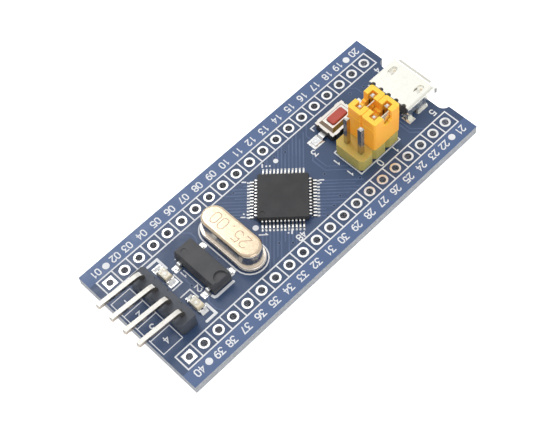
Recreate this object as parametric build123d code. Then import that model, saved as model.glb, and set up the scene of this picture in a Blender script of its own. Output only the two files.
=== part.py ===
"""Small microcontroller development board with through-hole rows, drawn as separate pieces.

Millimetres. The origin is the centre of the board's underside. +X runs towards the USB
socket, +Y across the board and +Z up through the component side.
"""

import os

from build123d import *

# Board
BOARD_LENGTH = 53.0
BOARD_WIDTH = 22.5
TOP = 1.6
COPPER = 0.035
RECESS_EDGE_X = 25.45
RECESS_HALF_WIDTH = 5.1
RECESS_CORNER_R = 1.15

# Pin grid shared by every header
PITCH = 2.54
PIN = 0.64
PIN_CHAMFER = 0.17
BLOCK_HEIGHT = 2.54
TAIL = 1.3

# Two rows of plated holes along the long edges
ROW_COUNT = 20
ROW_HALF_SPACING = 7.62
HOLE_D = 1.0
RING_D = 1.55
PIN_DRILL_D = 1.1

# Square microcontroller, turned 45 degrees on the board
CHIP_X = 0.2
CHIP_SIZE = 7.0
CHIP_HEIGHT = 1.0
CHIP_STANDOFF = 0.1
CHIP_SPAN = 9.0
CHIP_LEADS_PER_SIDE = 12
CHIP_PITCH = 0.5
CHIP_LEAD_W = 0.22
CHIP_LEAD_T = 0.14
CHIP_TURN = 45

# Main crystal in a steel can
CAN_X = -9.1
CAN_LENGTH = 10.0
CAN_WIDTH = 3.62
CAN_TOP = 3.5
FLANGE_LENGTH = 10.8
FLANGE_WIDTH = 4.3
CAN_WIRE_D = 0.45
CAN_WIRE_Y = 2.44
CAN_HOLE_D = 0.8

# Clock crystal in a moulded body
CLOCK_X = -14.5
CLOCK_LENGTH = 7.55
CLOCK_WIDTH = 3.1
CLOCK_HEIGHT = 2.45
CLOCK_LEAD_Y = 2.75
CLOCK_LEAD_W = 0.6

# Two chip LEDs
LED_X = -18.55
POWER_LED_Y = 3.05
USER_LED_Y = -3.05
LED_LENGTH = 2.3
LED_WIDTH = 1.25
LED_BASE_T = 0.35
LED_HEIGHT = 0.85

# Four-way debug header with bent pins
DEBUG_X = -21.4
DEBUG_WAYS = 4
DEBUG_PIN_Z = 3.65
DEBUG_TIP_X = -28.5
DEBUG_TIP_Z = 4.45
DEBUG_BEND_R = 0.9

# Two by three boot header and its two jumpers
BOOT_X = (11.48, 14.02, 16.56)
BOOT_Y = (-1.14, -3.68)
BOOT_PIN_TOP = 8.1
JUMPER_X = (BOOT_X[1] + BOOT_X[2]) / 2
JUMPER_LENGTH = 4.95
JUMPER_WIDTH = 2.5
JUMPER_BOTTOM = 2.6
JUMPER_SHOULDER = 6.7
JUMPER_TOP = 8.2
JUMPER_NOTCH = 1.6
JUMPER_NOTCH_Z = 6.6

# Reset switch
SWITCH_X = 14.0
SWITCH_Y = 3.2
SWITCH_LENGTH = 5.3
SWITCH_WIDTH = 3.44
SWITCH_DECK_Z = 1.25
SWITCH_CROWN_Z = 1.75
SWITCH_BUTTON_TOP = 2.05
SWITCH_FIT = 0.06
SWITCH_TRAVEL = 0.25

# USB socket
USB_BACK_X = 20.9
USB_FRONT_X = 26.05
USB_LIP_X = 26.55
USB_WIDTH = 7.5
USB_BOTTOM = 0.1
USB_HEIGHT = 2.5
USB_SHEET = 0.3


def block(x0, x1, y0, y1, z0, z1):
    """A box between two corners."""
    centre = Pos((x0 + x1) / 2, (y0 + y1) / 2, (z0 + z1) / 2)
    return centre * Box(x1 - x0, y1 - y0, z1 - z0)


def prism(sketch, z0, z1, taper=0):
    """A flat outline raised from z0 to z1."""
    return Pos(0, 0, z0) * extrude(sketch, amount=z1 - z0, taper=taper)


def bent(points, radius, width, thickness):
    """A strip bent in the XZ plane, width along Y."""
    path = FilletPolyline(*[(x, 0, z) for x, z in points], radius=radius)
    start = Plane(origin=path @ 0, x_dir=(0, 1, 0), z_dir=path % 0)
    return sweep(start * Rectangle(width, thickness), path=path)


def centred(count, pitch):
    """Positions of count things on one pitch, centred on zero."""
    return [(index - (count - 1) / 2) * pitch for index in range(count)]


def row_holes():
    for y in (-ROW_HALF_SPACING, ROW_HALF_SPACING):
        for index, x in enumerate(centred(ROW_COUNT, PITCH)):
            yield index, x, y


def header_pins_xy():
    """Every soldered header pin: the debug row and the boot block."""
    for y in centred(DEBUG_WAYS, PITCH):
        yield DEBUG_X, y
    for x in BOOT_X:
        for y in BOOT_Y:
            yield x, y


def can_wires_xy():
    for y in (-CAN_WIRE_Y, CAN_WIRE_Y):
        yield CAN_X, y


# ---------------------------------------------------------------- board

USB_TAB_X = 23.7
USB_TAB_Y = USB_WIDTH / 2 - USB_SHEET / 2
USB_SLOT = (2.3, 0.9)
USB_SLOT_RING = (2.9, 1.5)


def usb_slots(length, width):
    for y in (-USB_TAB_Y, USB_TAB_Y):
        yield Pos(USB_TAB_X, y) * SlotOverall(length, width)


def circuit_board():
    outline = Rectangle(BOARD_LENGTH, BOARD_WIDTH)
    reach = BOARD_LENGTH / 2 + 1
    mouth = Pos((RECESS_EDGE_X + reach) / 2, 0) * Rectangle(
        reach - RECESS_EDGE_X, 2 * RECESS_HALF_WIDTH
    )
    outline -= mouth
    for y in (-RECESS_HALF_WIDTH, RECESS_HALF_WIDTH):
        outline -= Pos(RECESS_EDGE_X + RECESS_CORNER_R, y) * Circle(RECESS_CORNER_R)
    outline -= [Pos(x, y) * Circle(HOLE_D / 2) for _, x, y in row_holes()]
    outline -= [Pos(x, y) * Circle(PIN_DRILL_D / 2) for x, y in header_pins_xy()]
    outline -= [Pos(x, y) * Circle(CAN_HOLE_D / 2) for x, y in can_wires_xy()]
    outline -= list(usb_slots(*USB_SLOT))
    return prism(outline, 0, TOP)


def header_pads():
    """A ring on each face round every row hole; the first of each row is square."""
    pads = []
    for index, x, y in row_holes():
        outer = Circle(RING_D / 2) if index else Rectangle(RING_D, RING_D)
        ring = Pos(x, y) * (outer - Circle(HOLE_D / 2))
        pads += [prism(ring, -COPPER, 0), prism(ring, TOP, TOP + COPPER)]
    return pads


def pin_rings():
    """Bare rings round the soldered pins and crystal wires, and under the socket's tabs."""
    pin_ring = Circle(RING_D / 2) - Circle(PIN_DRILL_D / 2)
    wire_ring = Circle(CAN_HOLE_D) - Circle(CAN_HOLE_D / 2)
    for z in (-COPPER, TOP):
        for x, y in header_pins_xy():
            yield Pos(x, y) * prism(pin_ring, z, z + COPPER)
        for x, y in can_wires_xy():
            yield Pos(x, y) * prism(wire_ring, z, z + COPPER)
    for outer, hole in zip(usb_slots(*USB_SLOT_RING), usb_slots(*USB_SLOT)):
        yield prism(outer - hole, -COPPER, 0)


SOLDER_FOOT_R = 0.74
SOLDER_TIP_R = 0.42
SOLDER_DROP = 0.95
WIRE_SOLDER_FOOT_R = 0.72
WIRE_SOLDER_TIP_R = 0.3
WIRE_SOLDER_DROP = 0.85


def solder_joint(hole_d, tip_r, foot_r, drop, wire):
    """A filled hole with a cone on the underside, cut to fit round its wire."""
    fill = prism(Circle(hole_d / 2), -COPPER, TOP)
    cone = Pos(0, 0, -COPPER - drop / 2) * Cone(tip_r, foot_r, drop)
    return fill + cone - wire


def pin_solder():
    """One joint per through-hole pin and crystal wire."""
    reach = 4 * TOP
    square = solder_joint(PIN_DRILL_D, SOLDER_TIP_R, SOLDER_FOOT_R, SOLDER_DROP, Box(PIN, PIN, 2 * reach))
    wire = Cylinder(CAN_WIRE_D / 2, 2 * reach)
    small = solder_joint(CAN_HOLE_D, WIRE_SOLDER_TIP_R, WIRE_SOLDER_FOOT_R, WIRE_SOLDER_DROP, wire)
    joints = [Pos(x, y, 0) * square for x, y in header_pins_xy()]
    joints += [Pos(x, y, 0) * small for x, y in can_wires_xy()]
    return joints


# ---------------------------------------------------------------- microcontroller

CHIP_PART_Z = TOP + CHIP_STANDOFF + CHIP_HEIGHT / 2
CHIP_DRAFT = 10
CHIP_CORNER = 0.15
CHIP_DIMPLE_R = 0.35
CHIP_DIMPLE_IN = 0.75
CHIP_DIMPLE_DEPTH = 0.06
CHIP_FOOT = 0.6
CHIP_PAD = (1.1, 0.25)


def place_chip(shape, turn=0):
    """Turn a piece drawn square to the chip and set it at the chip's place on the board."""
    return Pos(CHIP_X, 0, 0) * Rot(0, 0, CHIP_TURN + turn) * shape


def main_chip_body():
    outline = Rectangle(CHIP_SIZE, CHIP_SIZE)
    outline = chamfer(outline.vertices(), CHIP_CORNER)
    half = CHIP_HEIGHT / 2
    upper = Pos(0, 0, CHIP_PART_Z) * extrude(outline, amount=half, taper=CHIP_DRAFT)
    lower = Pos(0, 0, CHIP_PART_Z) * extrude(outline, amount=-half, taper=CHIP_DRAFT)
    body = upper + lower
    corner = CHIP_SIZE / 2 - CHIP_DIMPLE_IN
    dimple = Pos(-corner, corner, CHIP_PART_Z + half) * Cylinder(CHIP_DIMPLE_R, 2 * CHIP_DIMPLE_DEPTH)
    return place_chip(body - dimple)


def main_chip_leads():
    edge = CHIP_SIZE / 2
    toe = CHIP_SPAN / 2
    foot_z = TOP + COPPER + CHIP_LEAD_T / 2
    points = [
        (edge, CHIP_PART_Z),
        (edge + 0.32, CHIP_PART_Z),
        (toe - CHIP_FOOT + 0.05, foot_z),
        (toe, foot_z),
    ]
    lead = bent(points, 0.12, CHIP_LEAD_W, CHIP_LEAD_T)
    leads = []
    for turn in range(4):
        for y in centred(CHIP_LEADS_PER_SIDE, CHIP_PITCH):
            leads.append(place_chip(Pos(0, y, 0) * lead, 90 * turn))
    return leads


def chip_pads():
    centre = CHIP_SPAN / 2 - CHIP_FOOT + CHIP_PAD[0] / 2 - 0.1
    for turn in range(4):
        for y in centred(CHIP_LEADS_PER_SIDE, CHIP_PITCH):
            pad = Pos(centre, y) * Rectangle(*CHIP_PAD)
            yield place_chip(pad, 90 * turn)


# ---------------------------------------------------------------- crystals

CAN_BASE_Z = TOP + COPPER
CAN_FLANGE_Z = TOP + 0.45
CAN_FLANGE_T = 0.4
CAN_FLANGE_ROUND = 0.16
CAN_TOP_ROUND = 0.42
CAN_SHEET = 0.4
CAN_BASE_STEP = 0.12
CAN_BASE_RISE = 0.6
CAN_WIRE_TIP_Z = -1.25
CAN_WIRE_INSIDE = 1.0


def upright_slot(length, width):
    return Rot(0, 0, 90) * SlotOverall(length, width)


def main_crystal_can():
    """Drawn steel lid with its welded rim."""
    flange_top = CAN_FLANGE_Z + CAN_FLANGE_T
    flange = prism(upright_slot(FLANGE_LENGTH, FLANGE_WIDTH), CAN_FLANGE_Z, flange_top)
    flange = fillet(flange.edges().group_by(Axis.Z)[-1], CAN_FLANGE_ROUND)
    lid = prism(upright_slot(CAN_LENGTH, CAN_WIDTH), CAN_FLANGE_Z, TOP + CAN_TOP)
    lid = fillet(lid.edges().group_by(Axis.Z)[-1], CAN_TOP_ROUND)
    hollow = upright_slot(CAN_LENGTH - 2 * CAN_SHEET, CAN_WIDTH - 2 * CAN_SHEET)
    hollow = prism(hollow, CAN_FLANGE_Z, TOP + CAN_TOP - CAN_SHEET)
    return Pos(CAN_X, 0, 0) * (flange + lid - hollow)


def main_crystal_base():
    """Steel base plate with the glass-sealed wires leaving through it."""
    plate = upright_slot(FLANGE_LENGTH - 2 * CAN_BASE_STEP, FLANGE_WIDTH - 2 * CAN_BASE_STEP)
    plug = upright_slot(CAN_LENGTH - 2 * CAN_SHEET - 0.1, CAN_WIDTH - 2 * CAN_SHEET - 0.1)
    base = prism(plate, CAN_BASE_Z, CAN_FLANGE_Z)
    base += prism(plug, CAN_FLANGE_Z, CAN_FLANGE_Z + CAN_BASE_RISE)
    reach = 4 * CAN_TOP
    wires = [Pos(0, y, 0) * Cylinder(CAN_WIRE_D / 2, reach) for y in (-CAN_WIRE_Y, CAN_WIRE_Y)]
    return Pos(CAN_X, 0, 0) * (base - wires)


def main_crystal_wires():
    wire = prism(Circle(CAN_WIRE_D / 2), CAN_WIRE_TIP_Z, CAN_FLANGE_Z + CAN_WIRE_INSIDE)
    return [Pos(x, y, 0) * wire for x, y in can_wires_xy()]


CLOCK_PART_Z = TOP + 0.95
CLOCK_BOTTOM_Z = TOP + 0.1
CLOCK_DRAFT = 5
CLOCK_ROUND = 0.1
CLOCK_DIMPLE = (-0.55, 2.75)
CLOCK_DIMPLE_R = 0.42
CLOCK_DIMPLE_DEPTH = 0.07
CLOCK_SCOOP = (0.1, -3.45)
CLOCK_SCOOP_R = 0.95
CLOCK_SCOOP_DEPTH = 0.3


def clock_crystal_body():
    """Moulded body with a round dimple at one end and a scoop open to the other end."""
    outline = Rectangle(CLOCK_WIDTH, CLOCK_LENGTH)
    top = TOP + CLOCK_HEIGHT
    upper = extrude(outline, amount=top - CLOCK_PART_Z, taper=CLOCK_DRAFT)
    lower = extrude(outline, amount=CLOCK_BOTTOM_Z - CLOCK_PART_Z, taper=CLOCK_DRAFT)
    body = Pos(0, 0, CLOCK_PART_Z) * (upper + lower)
    body = fillet(body.edges().group_by(Axis.Z)[-1], CLOCK_ROUND)
    body -= Pos(*CLOCK_DIMPLE, top) * Cylinder(CLOCK_DIMPLE_R, 2 * CLOCK_DIMPLE_DEPTH)
    body -= Pos(*CLOCK_SCOOP, top) * Cylinder(CLOCK_SCOOP_R, 2 * CLOCK_SCOOP_DEPTH)
    return Pos(CLOCK_X, 0, 0) * body


CLOCK_LEAD_T = 0.2
CLOCK_LEAD_Z = TOP + 0.65
CLOCK_LEAD_DROP_X = 0.42
CLOCK_LEAD_TOE_X = 0.9
CLOCK_PAD_X = 2.2
CLOCK_PAD = (1.2, 0.95)


def clock_crystal_leads():
    """Four flat leads that leave the ends of the long sides and fold down to their pads."""
    foot_z = TOP + COPPER + CLOCK_LEAD_T / 2
    half = CLOCK_WIDTH / 2 - 0.04
    points = [
        (half, CLOCK_LEAD_Z),
        (half + CLOCK_LEAD_DROP_X, CLOCK_LEAD_Z),
        (half + CLOCK_LEAD_DROP_X, foot_z),
        (half + CLOCK_LEAD_TOE_X, foot_z),
    ]
    lead = bent(points, 0.18, CLOCK_LEAD_W, CLOCK_LEAD_T)
    leads = []
    for turn in (0, 180):
        for y in (-CLOCK_LEAD_Y, CLOCK_LEAD_Y):
            leads.append(Pos(CLOCK_X, 0, 0) * Rot(0, 0, turn) * Pos(0, y, 0) * lead)
    return leads


def clock_pads():
    for x in (-CLOCK_PAD_X, CLOCK_PAD_X):
        for y in (-CLOCK_LEAD_Y, CLOCK_LEAD_Y):
            yield Pos(CLOCK_X + x, y) * Rectangle(*CLOCK_PAD)


# ---------------------------------------------------------------- LEDs

LED_TERMINAL = 0.32
LED_NOTCH_R = 0.2
LED_DRAFT = 7
LED_ROUND = 0.12
LED_PAD_Y = (0.85, 1.95)
LED_SOLDER_TOE = 1.75


def led_base():
    """Laminate base, its end terminals kept clear."""
    return block(-LED_WIDTH / 2, LED_WIDTH / 2, -LED_LENGTH / 2 + LED_TERMINAL,
                 LED_LENGTH / 2 - LED_TERMINAL, TOP + COPPER, TOP + COPPER + LED_BASE_T)


def led_terminals():
    """Plated end caps with the half-round notch that such chips have."""
    pieces = []
    for side in (-1, 1):
        inner = side * (LED_LENGTH / 2 - LED_TERMINAL)
        outer = side * LED_LENGTH / 2
        cap = block(-LED_WIDTH / 2, LED_WIDTH / 2, min(inner, outer), max(inner, outer),
                    TOP + COPPER, TOP + COPPER + LED_BASE_T)
        cap -= Pos(0, outer, TOP) * Cylinder(LED_NOTCH_R, 2)
        pieces.append(cap)
    return pieces


def led_lens():
    """Clear moulded lens with sloping sides."""
    foot = TOP + COPPER + LED_BASE_T
    outline = Rectangle(LED_WIDTH, LED_LENGTH - 2 * LED_TERMINAL + 0.2)
    lens = Pos(0, 0, foot) * extrude(outline, amount=TOP + LED_HEIGHT - foot, taper=LED_DRAFT)
    return fillet(lens.edges().group_by(Axis.Z)[-1], LED_ROUND)


def end_fillets(length, width, height, pad_reach):
    """Solder wedges against both ends of a part that lies along Y."""
    wedges = []
    for side in (-1, 1):
        face_y = side * length / 2
        toe_y = side * pad_reach
        with_corner = [(face_y, height), (face_y, 0), (toe_y, 0)]
        profile = Polyline(*with_corner, with_corner[0])
        sketch = Plane.YZ * make_face(profile)
        wedges.append(Pos(0, 0, TOP + COPPER) * extrude(sketch, amount=width / 2, both=True))
    return wedges


def part_pads(pad_in, pad_out, width):
    """Two pads on the Y axis, from pad_in to pad_out on each side."""
    for side in (-1, 1):
        yield Pos(0, side * (pad_in + pad_out) / 2) * Rectangle(width, pad_out - pad_in)


def leds(shape):
    """The pieces of one LED at the place of the power LED or the user LED."""
    return [Pos(LED_X, y, 0) * piece for y in (POWER_LED_Y, USER_LED_Y) for piece in shape]


# ---------------------------------------------------------------- headers

DEBUG_NOTCH = 0.3
BOOT_NOTCH = 0.45
BOOT_STANDOFF = 0.35
STANDOFF_INSET = 0.6


def header_block(ways, rows, notch, bottom):
    """Moulded block with a notch between ways on both long sides, square holes at the pins."""
    depth = rows * PITCH
    way = chamfer(Rectangle(PITCH, depth).vertices(), notch)
    outline = Rectangle(ways * PITCH - 2 * notch, depth - 2 * notch)
    outline += [Pos(x, 0) * way for x in centred(ways, PITCH)]
    for x in centred(ways, PITCH):
        outline -= [Pos(x, y) * Rectangle(PIN, PIN) for y in centred(rows, PITCH)]
    return prism(outline, bottom, TOP + BLOCK_HEIGHT)


def straight_pin(z0, z1):
    pin = block(-PIN / 2, PIN / 2, -PIN / 2, PIN / 2, z0, z1)
    ends = pin.edges().group_by(Axis.Z)
    return chamfer(ends[0] + ends[-1], PIN_CHAMFER)


def debug_header_block():
    body = header_block(DEBUG_WAYS, 1, DEBUG_NOTCH, TOP + COPPER)
    return Pos(DEBUG_X, 0, 0) * Rot(0, 0, 90) * body


def debug_header_pins():
    """Square wire pins bent over above the block, out past the board's end."""
    points = [
        (DEBUG_X, -TAIL),
        (DEBUG_X, TOP + DEBUG_PIN_Z),
        (DEBUG_TIP_X, TOP + DEBUG_TIP_Z),
    ]
    pin = bent(points, DEBUG_BEND_R, PIN, PIN)
    tip = pin.faces().sort_by(Axis.X)[0]
    foot = pin.faces().sort_by(Axis.Z)[0]
    pin = chamfer(tip.edges() + foot.edges(), PIN_CHAMFER)
    return [Pos(0, y, 0) * pin for y in centred(DEBUG_WAYS, PITCH)]


BOOT_CENTRE = (BOOT_X[1], (BOOT_Y[0] + BOOT_Y[1]) / 2)


def boot_header_block():
    """Block that stands on an inset foot, so a shadow gap runs round it."""
    ways, rows = len(BOOT_X), len(BOOT_Y)
    foot_z = TOP + BOOT_STANDOFF
    body = header_block(ways, rows, BOOT_NOTCH, foot_z)
    foot = Rectangle(ways * PITCH - 2 * STANDOFF_INSET, rows * PITCH - 2 * STANDOFF_INSET)
    for x in centred(ways, PITCH):
        foot -= [Pos(x, y) * Rectangle(PIN, PIN) for y in centred(rows, PITCH)]
    body += prism(foot, TOP + COPPER, foot_z)
    return Pos(*BOOT_CENTRE, 0) * body


def boot_header_pins():
    pin = straight_pin(-TAIL, TOP + BOOT_PIN_TOP)
    return [Pos(x, y, 0) * pin for x in BOOT_X for y in BOOT_Y]


# ---------------------------------------------------------------- jumpers

CONTACT_T = 0.16
CONTACT_GAP = 0.05
CONTACT_Y = PIN / 2 + CONTACT_GAP + CONTACT_T / 2
CONTACT_X = 1.95
CONTACT_BEND = 0.22
CONTACT_OPEN_X = PITCH / 2 - 0.45
CONTACT_Z = (3.1, 7.0)
SPINE_Y = -0.76
SPINE_TOP = 8.05
SPINE_HALF = 0.72
DIMPLE_HALF = 0.25
DIMPLE_Z = (3.6, 6.4)
CAP_WELL = (4.2, 1.5)
CAP_WELL_Y = -0.15
CAP_RECESS = 1.0
CAP_CORNER = 0.22
CAP_TOP_EDGE = 0.04
CAP_STEP = 0.05
CAP_SCOOP_R = 0.42


def jumper_cap(y):
    """Open-topped cap: a well for the contact, a recess over each pin, a notch and side scoops."""
    outline = Rectangle(JUMPER_LENGTH, JUMPER_WIDTH)
    outline = chamfer(outline.vertices(), CAP_CORNER)
    narrow = Rectangle(JUMPER_LENGTH - 2 * CAP_STEP, JUMPER_WIDTH)
    narrow = chamfer(narrow.vertices(), CAP_CORNER)
    upper = prism(narrow, TOP + JUMPER_SHOULDER, TOP + JUMPER_TOP)
    upper = chamfer(upper.edges().group_by(Axis.Z)[-1], CAP_TOP_EDGE)
    cap = prism(outline, TOP + JUMPER_BOTTOM, TOP + JUMPER_SHOULDER) + upper
    well_top = TOP + CONTACT_Z[1] + 0.05
    cap -= prism(Pos(0, CAP_WELL_Y) * Rectangle(*CAP_WELL), TOP + JUMPER_BOTTOM, well_top)
    for x in (-PITCH / 2, PITCH / 2):
        cap -= prism(Pos(x, 0) * Rectangle(CAP_RECESS, CAP_RECESS), well_top, TOP + JUMPER_TOP)
    notch = Rectangle(JUMPER_NOTCH, JUMPER_WIDTH)
    cap -= prism(notch, TOP + JUMPER_NOTCH_Z, TOP + JUMPER_TOP)
    cap -= Pos(0, 0, TOP + JUMPER_NOTCH_Z) * Rot(90, 0, 0) * Cylinder(CAP_SCOOP_R, 2 * JUMPER_WIDTH)
    return Pos(JUMPER_X, y, 0) * cap


def jumper_contact(y):
    """Folded strip: a spine along one side with a tall middle, dimples at the pins, sprung ends."""
    line = FilletPolyline(
        (-CONTACT_OPEN_X, CONTACT_Y),
        (-CONTACT_X, CONTACT_Y),
        (-CONTACT_X, SPINE_Y),
        (CONTACT_X, SPINE_Y),
        (CONTACT_X, CONTACT_Y),
        (CONTACT_OPEN_X, CONTACT_Y),
        radius=CONTACT_BEND,
    )
    low, high = (TOP + z for z in CONTACT_Z)
    contact = prism(trace(line, line_width=CONTACT_T), low, high)
    half = CONTACT_T / 2
    contact += block(-SPINE_HALF, SPINE_HALF, SPINE_Y - half, SPINE_Y + half, high, TOP + SPINE_TOP)
    dimple_y = -PIN / 2 - CONTACT_GAP
    for x in (-PITCH / 2, PITCH / 2):
        contact += block(x - DIMPLE_HALF, x + DIMPLE_HALF, SPINE_Y, dimple_y,
                         TOP + DIMPLE_Z[0], TOP + DIMPLE_Z[1])
    return Pos(JUMPER_X, y, 0) * contact


# ---------------------------------------------------------------- reset switch

SWITCH_BUTTON = (2.85, 1.4)
SWITCH_BUTTON_FOOT = 0.85
SWITCH_BUTTON_CORNER = 0.22
SWITCH_BUTTON_ROUND = 0.1
SWITCH_SKIRT = (3.4, 1.8)
SWITCH_WELL = (3.9, 2.4)
SWITCH_FLOOR = 0.3
SWITCH_BASE_Z = (0.06, 1.1)
SWITCH_SHEET = 0.16
SWITCH_CROWN = (4.65, 2.93)
SWITCH_CROWN_SLOPE = 37
SWITCH_CROWN_HOLLOW = (3.6, 1.95)
SWITCH_TAB_X = 1.7
SWITCH_TAB = (0.8, 0.15)
SWITCH_TAB_FOOT = 0.35
SWITCH_END_NOTCH = (0.22, 0.4)
SWITCH_END_NOTCH_Y = 0.95
SWITCH_LEG_W = 1.0
SWITCH_LEG_T = 0.18
SWITCH_LEG_REACH = 4.75
SWITCH_LEG_Z = 0.45
SWITCH_PAD_X = 4.25
SWITCH_PAD = (1.9, 1.65)


def place_switch(shape):
    return Pos(SWITCH_X, SWITCH_Y, TOP) * shape


def reset_switch_base():
    """Dark moulded base with a well for the dome and the button's skirt."""
    foot, top = SWITCH_BASE_Z
    outline = chamfer(Rectangle(SWITCH_LENGTH, SWITCH_WIDTH - 0.1).vertices(), 0.2)
    base = prism(outline, foot, top)
    base -= prism(Rectangle(*SWITCH_WELL), SWITCH_FLOOR, top)
    return place_switch(base)


def reset_switch_cover():
    """Pressed steel cover: a flat deck, a raised sloping crown and four folded side tabs."""
    seat = SWITCH_BASE_Z[1]
    deck = Rectangle(SWITCH_LENGTH, SWITCH_WIDTH)
    for x in (-SWITCH_LENGTH / 2, SWITCH_LENGTH / 2):
        for y in (-SWITCH_END_NOTCH_Y, SWITCH_END_NOTCH_Y):
            deck -= Pos(x, y) * Rectangle(*SWITCH_END_NOTCH)
    cover = prism(deck, seat, SWITCH_DECK_Z)
    crown = prism(Rectangle(*SWITCH_CROWN), seat, SWITCH_CROWN_Z, taper=SWITCH_CROWN_SLOPE)
    cover += fillet(crown.edges().group_by(Axis.Z)[-1], 0.1)
    cover -= prism(Rectangle(*SWITCH_CROWN_HOLLOW), seat, SWITCH_CROWN_Z - SWITCH_SHEET)
    opening = Rectangle(SWITCH_BUTTON[0] + 2 * SWITCH_FIT, SWITCH_BUTTON[1] + 2 * SWITCH_FIT)
    opening = chamfer(opening.vertices(), SWITCH_BUTTON_CORNER - SWITCH_FIT / 2)
    cover -= prism(opening, seat, SWITCH_CROWN_Z)
    width, sheet = SWITCH_TAB
    middle = SWITCH_WIDTH / 2 + sheet / 2 - 0.05
    for x in (-SWITCH_TAB_X, SWITCH_TAB_X):
        for y in (-middle, middle):
            tab = Pos(x, y) * Rectangle(width, sheet)
            cover += prism(tab, SWITCH_TAB_FOOT, SWITCH_DECK_Z)
    return place_switch(cover)


def reset_switch_button():
    """Red actuator with a skirt that the cover holds down."""
    stem = chamfer(Rectangle(*SWITCH_BUTTON).vertices(), SWITCH_BUTTON_CORNER)
    button = prism(stem, SWITCH_BUTTON_FOOT, SWITCH_BUTTON_TOP)
    button = fillet(button.edges().group_by(Axis.Z)[-1], SWITCH_BUTTON_ROUND)
    skirt_top = SWITCH_CROWN_Z - SWITCH_SHEET - SWITCH_FIT
    button += prism(Rectangle(*SWITCH_SKIRT), SWITCH_BUTTON_FOOT, skirt_top)
    return place_switch(button)


DOME_R = 1.1
DOME_CLEAR = 0.02
DOME_SLOPE = 0.8


def reset_switch_dome():
    """Snap dome on the base's floor, drawn at the height it has when pressed."""
    rise = SWITCH_BUTTON_FOOT - SWITCH_TRAVEL - DOME_CLEAR - SWITCH_FLOOR
    disc = Cylinder(DOME_R, rise, align=(Align.CENTER, Align.CENTER, Align.MIN))
    disc = chamfer(disc.edges().group_by(Axis.Z)[-1], rise * DOME_SLOPE)
    return place_switch(Pos(0, 0, SWITCH_FLOOR) * disc)


def reset_switch_terminals():
    """One wide leg at each end, stepped down to its pad."""
    half = SWITCH_LENGTH / 2
    foot_z = COPPER + SWITCH_LEG_T / 2
    points = [
        (half, SWITCH_LEG_Z),
        (half + 0.6, SWITCH_LEG_Z),
        (half + 0.9, foot_z),
        (SWITCH_LEG_REACH, foot_z),
    ]
    leg = bent(points, 0.15, SWITCH_LEG_W, SWITCH_LEG_T)
    return [place_switch(Rot(0, 0, turn) * leg) for turn in (0, 180)]


def switch_pads():
    for x in (-SWITCH_PAD_X, SWITCH_PAD_X):
        yield Pos(SWITCH_X + x, SWITCH_Y) * Rectangle(*SWITCH_PAD)


# ---------------------------------------------------------------- USB socket

USB_TOP = USB_BOTTOM + USB_HEIGHT
USB_CHAMFER = 1.0
USB_LATCH_Y = 2.42
USB_LATCH_X = (23.55, 25.25)
USB_LATCH_W = 0.92
USB_FOOT_X = (20.8, 21.7)
USB_FOOT_OUT = 0.42
USB_FOOT_T = 0.28
USB_WALL_Z = USB_BOTTOM + 1.4
USB_TAB_LENGTH = 1.6
USB_TAB_TIP_Z = -0.4
USB_MOUND = (2.6, 1.2)
USB_MOUND_HEIGHT = 0.3
USB_TAIL_CUT = (1.1, 0.4)
USB_LATCH_GAP = 0.17
USB_LATCH_T = 0.2
USB_LATCH_DIP = 0.36
USB_LATCH_ROOT = 0.3
USB_SCALLOP_PITCH = 1.4
USB_SCALLOP_R = 0.36
USB_CONTACT_PITCH = 0.65


def usb_profile(inset):
    """Front view of the sheet shell: square shoulders above, bevels towards the board."""
    half = USB_WIDTH / 2 - inset
    low = USB_BOTTOM + inset
    high = USB_TOP - inset
    bevel = USB_CHAMFER - inset * 0.4
    corners = [
        (-half, high),
        (half, high),
        (half, low + bevel),
        (half - bevel, low),
        (-half + bevel, low),
        (-half, low + bevel),
    ]
    face = make_face(Polyline(*corners, corners[0]))
    return fillet(face.vertices(), 0.45 - inset * 0.6)


def tube_x(sketch, x0, x1):
    """A front-view outline drawn out along X between x0 and x1."""
    placed = Plane(origin=(x0, 0, TOP), x_dir=(0, 1, 0), z_dir=(1, 0, 0)) * sketch
    return extrude(placed, amount=x1 - x0)


def flare(half_width, z, sign):
    """A lip that turns out from the shell's front edge at height z."""
    run = USB_LIP_X - USB_FRONT_X
    level = TOP + z
    points = [
        (USB_FRONT_X - 0.3, level),
        (USB_FRONT_X + 0.15, level),
        (USB_LIP_X, level + sign * run * 0.55),
    ]
    return bent(points, 0.5, 2 * half_width, USB_SHEET)


def usb_shell():
    """Folded steel shell: tube, flared mouth, latch windows, feet and side tabs."""
    half = USB_WIDTH / 2
    shell = tube_x(usb_profile(0) - usb_profile(USB_SHEET), USB_BACK_X, USB_FRONT_X)
    middle = USB_SHEET / 2
    shell += flare(2.9, USB_TOP - middle, 1)
    shell += flare(2.2, USB_BOTTOM + middle, -1)
    side_z = (USB_TOP + USB_BOTTOM) / 2 + 0.35
    for sign in (-1, 1):
        wing = Rot(sign * 90, 0, 0) * Pos(0, 0, -TOP) * flare(0.5, 0, 1)
        shell += Pos(0, sign * -(half - middle), TOP + side_z) * wing
    tail_y = half - USB_CHAMFER - USB_SHEET
    tail_x, tail_z = USB_TAIL_CUT
    shell -= block(USB_BACK_X, USB_BACK_X + tail_x, -tail_y, tail_y, TOP, TOP + USB_BOTTOM + tail_z)
    for y in centred(5, USB_SCALLOP_PITCH):
        notch = Pos(USB_BACK_X, y) * Circle(USB_SCALLOP_R)
        shell -= prism(notch, TOP + USB_TOP - USB_SHEET, TOP + USB_TOP)
    for y in (-USB_LATCH_Y, USB_LATCH_Y):
        shell -= latch_window(y)
        shell += latch(y)
    for sign in (-1, 1):
        shell += usb_tab(sign)
        shell += usb_foot(sign)
    return shell


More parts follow.
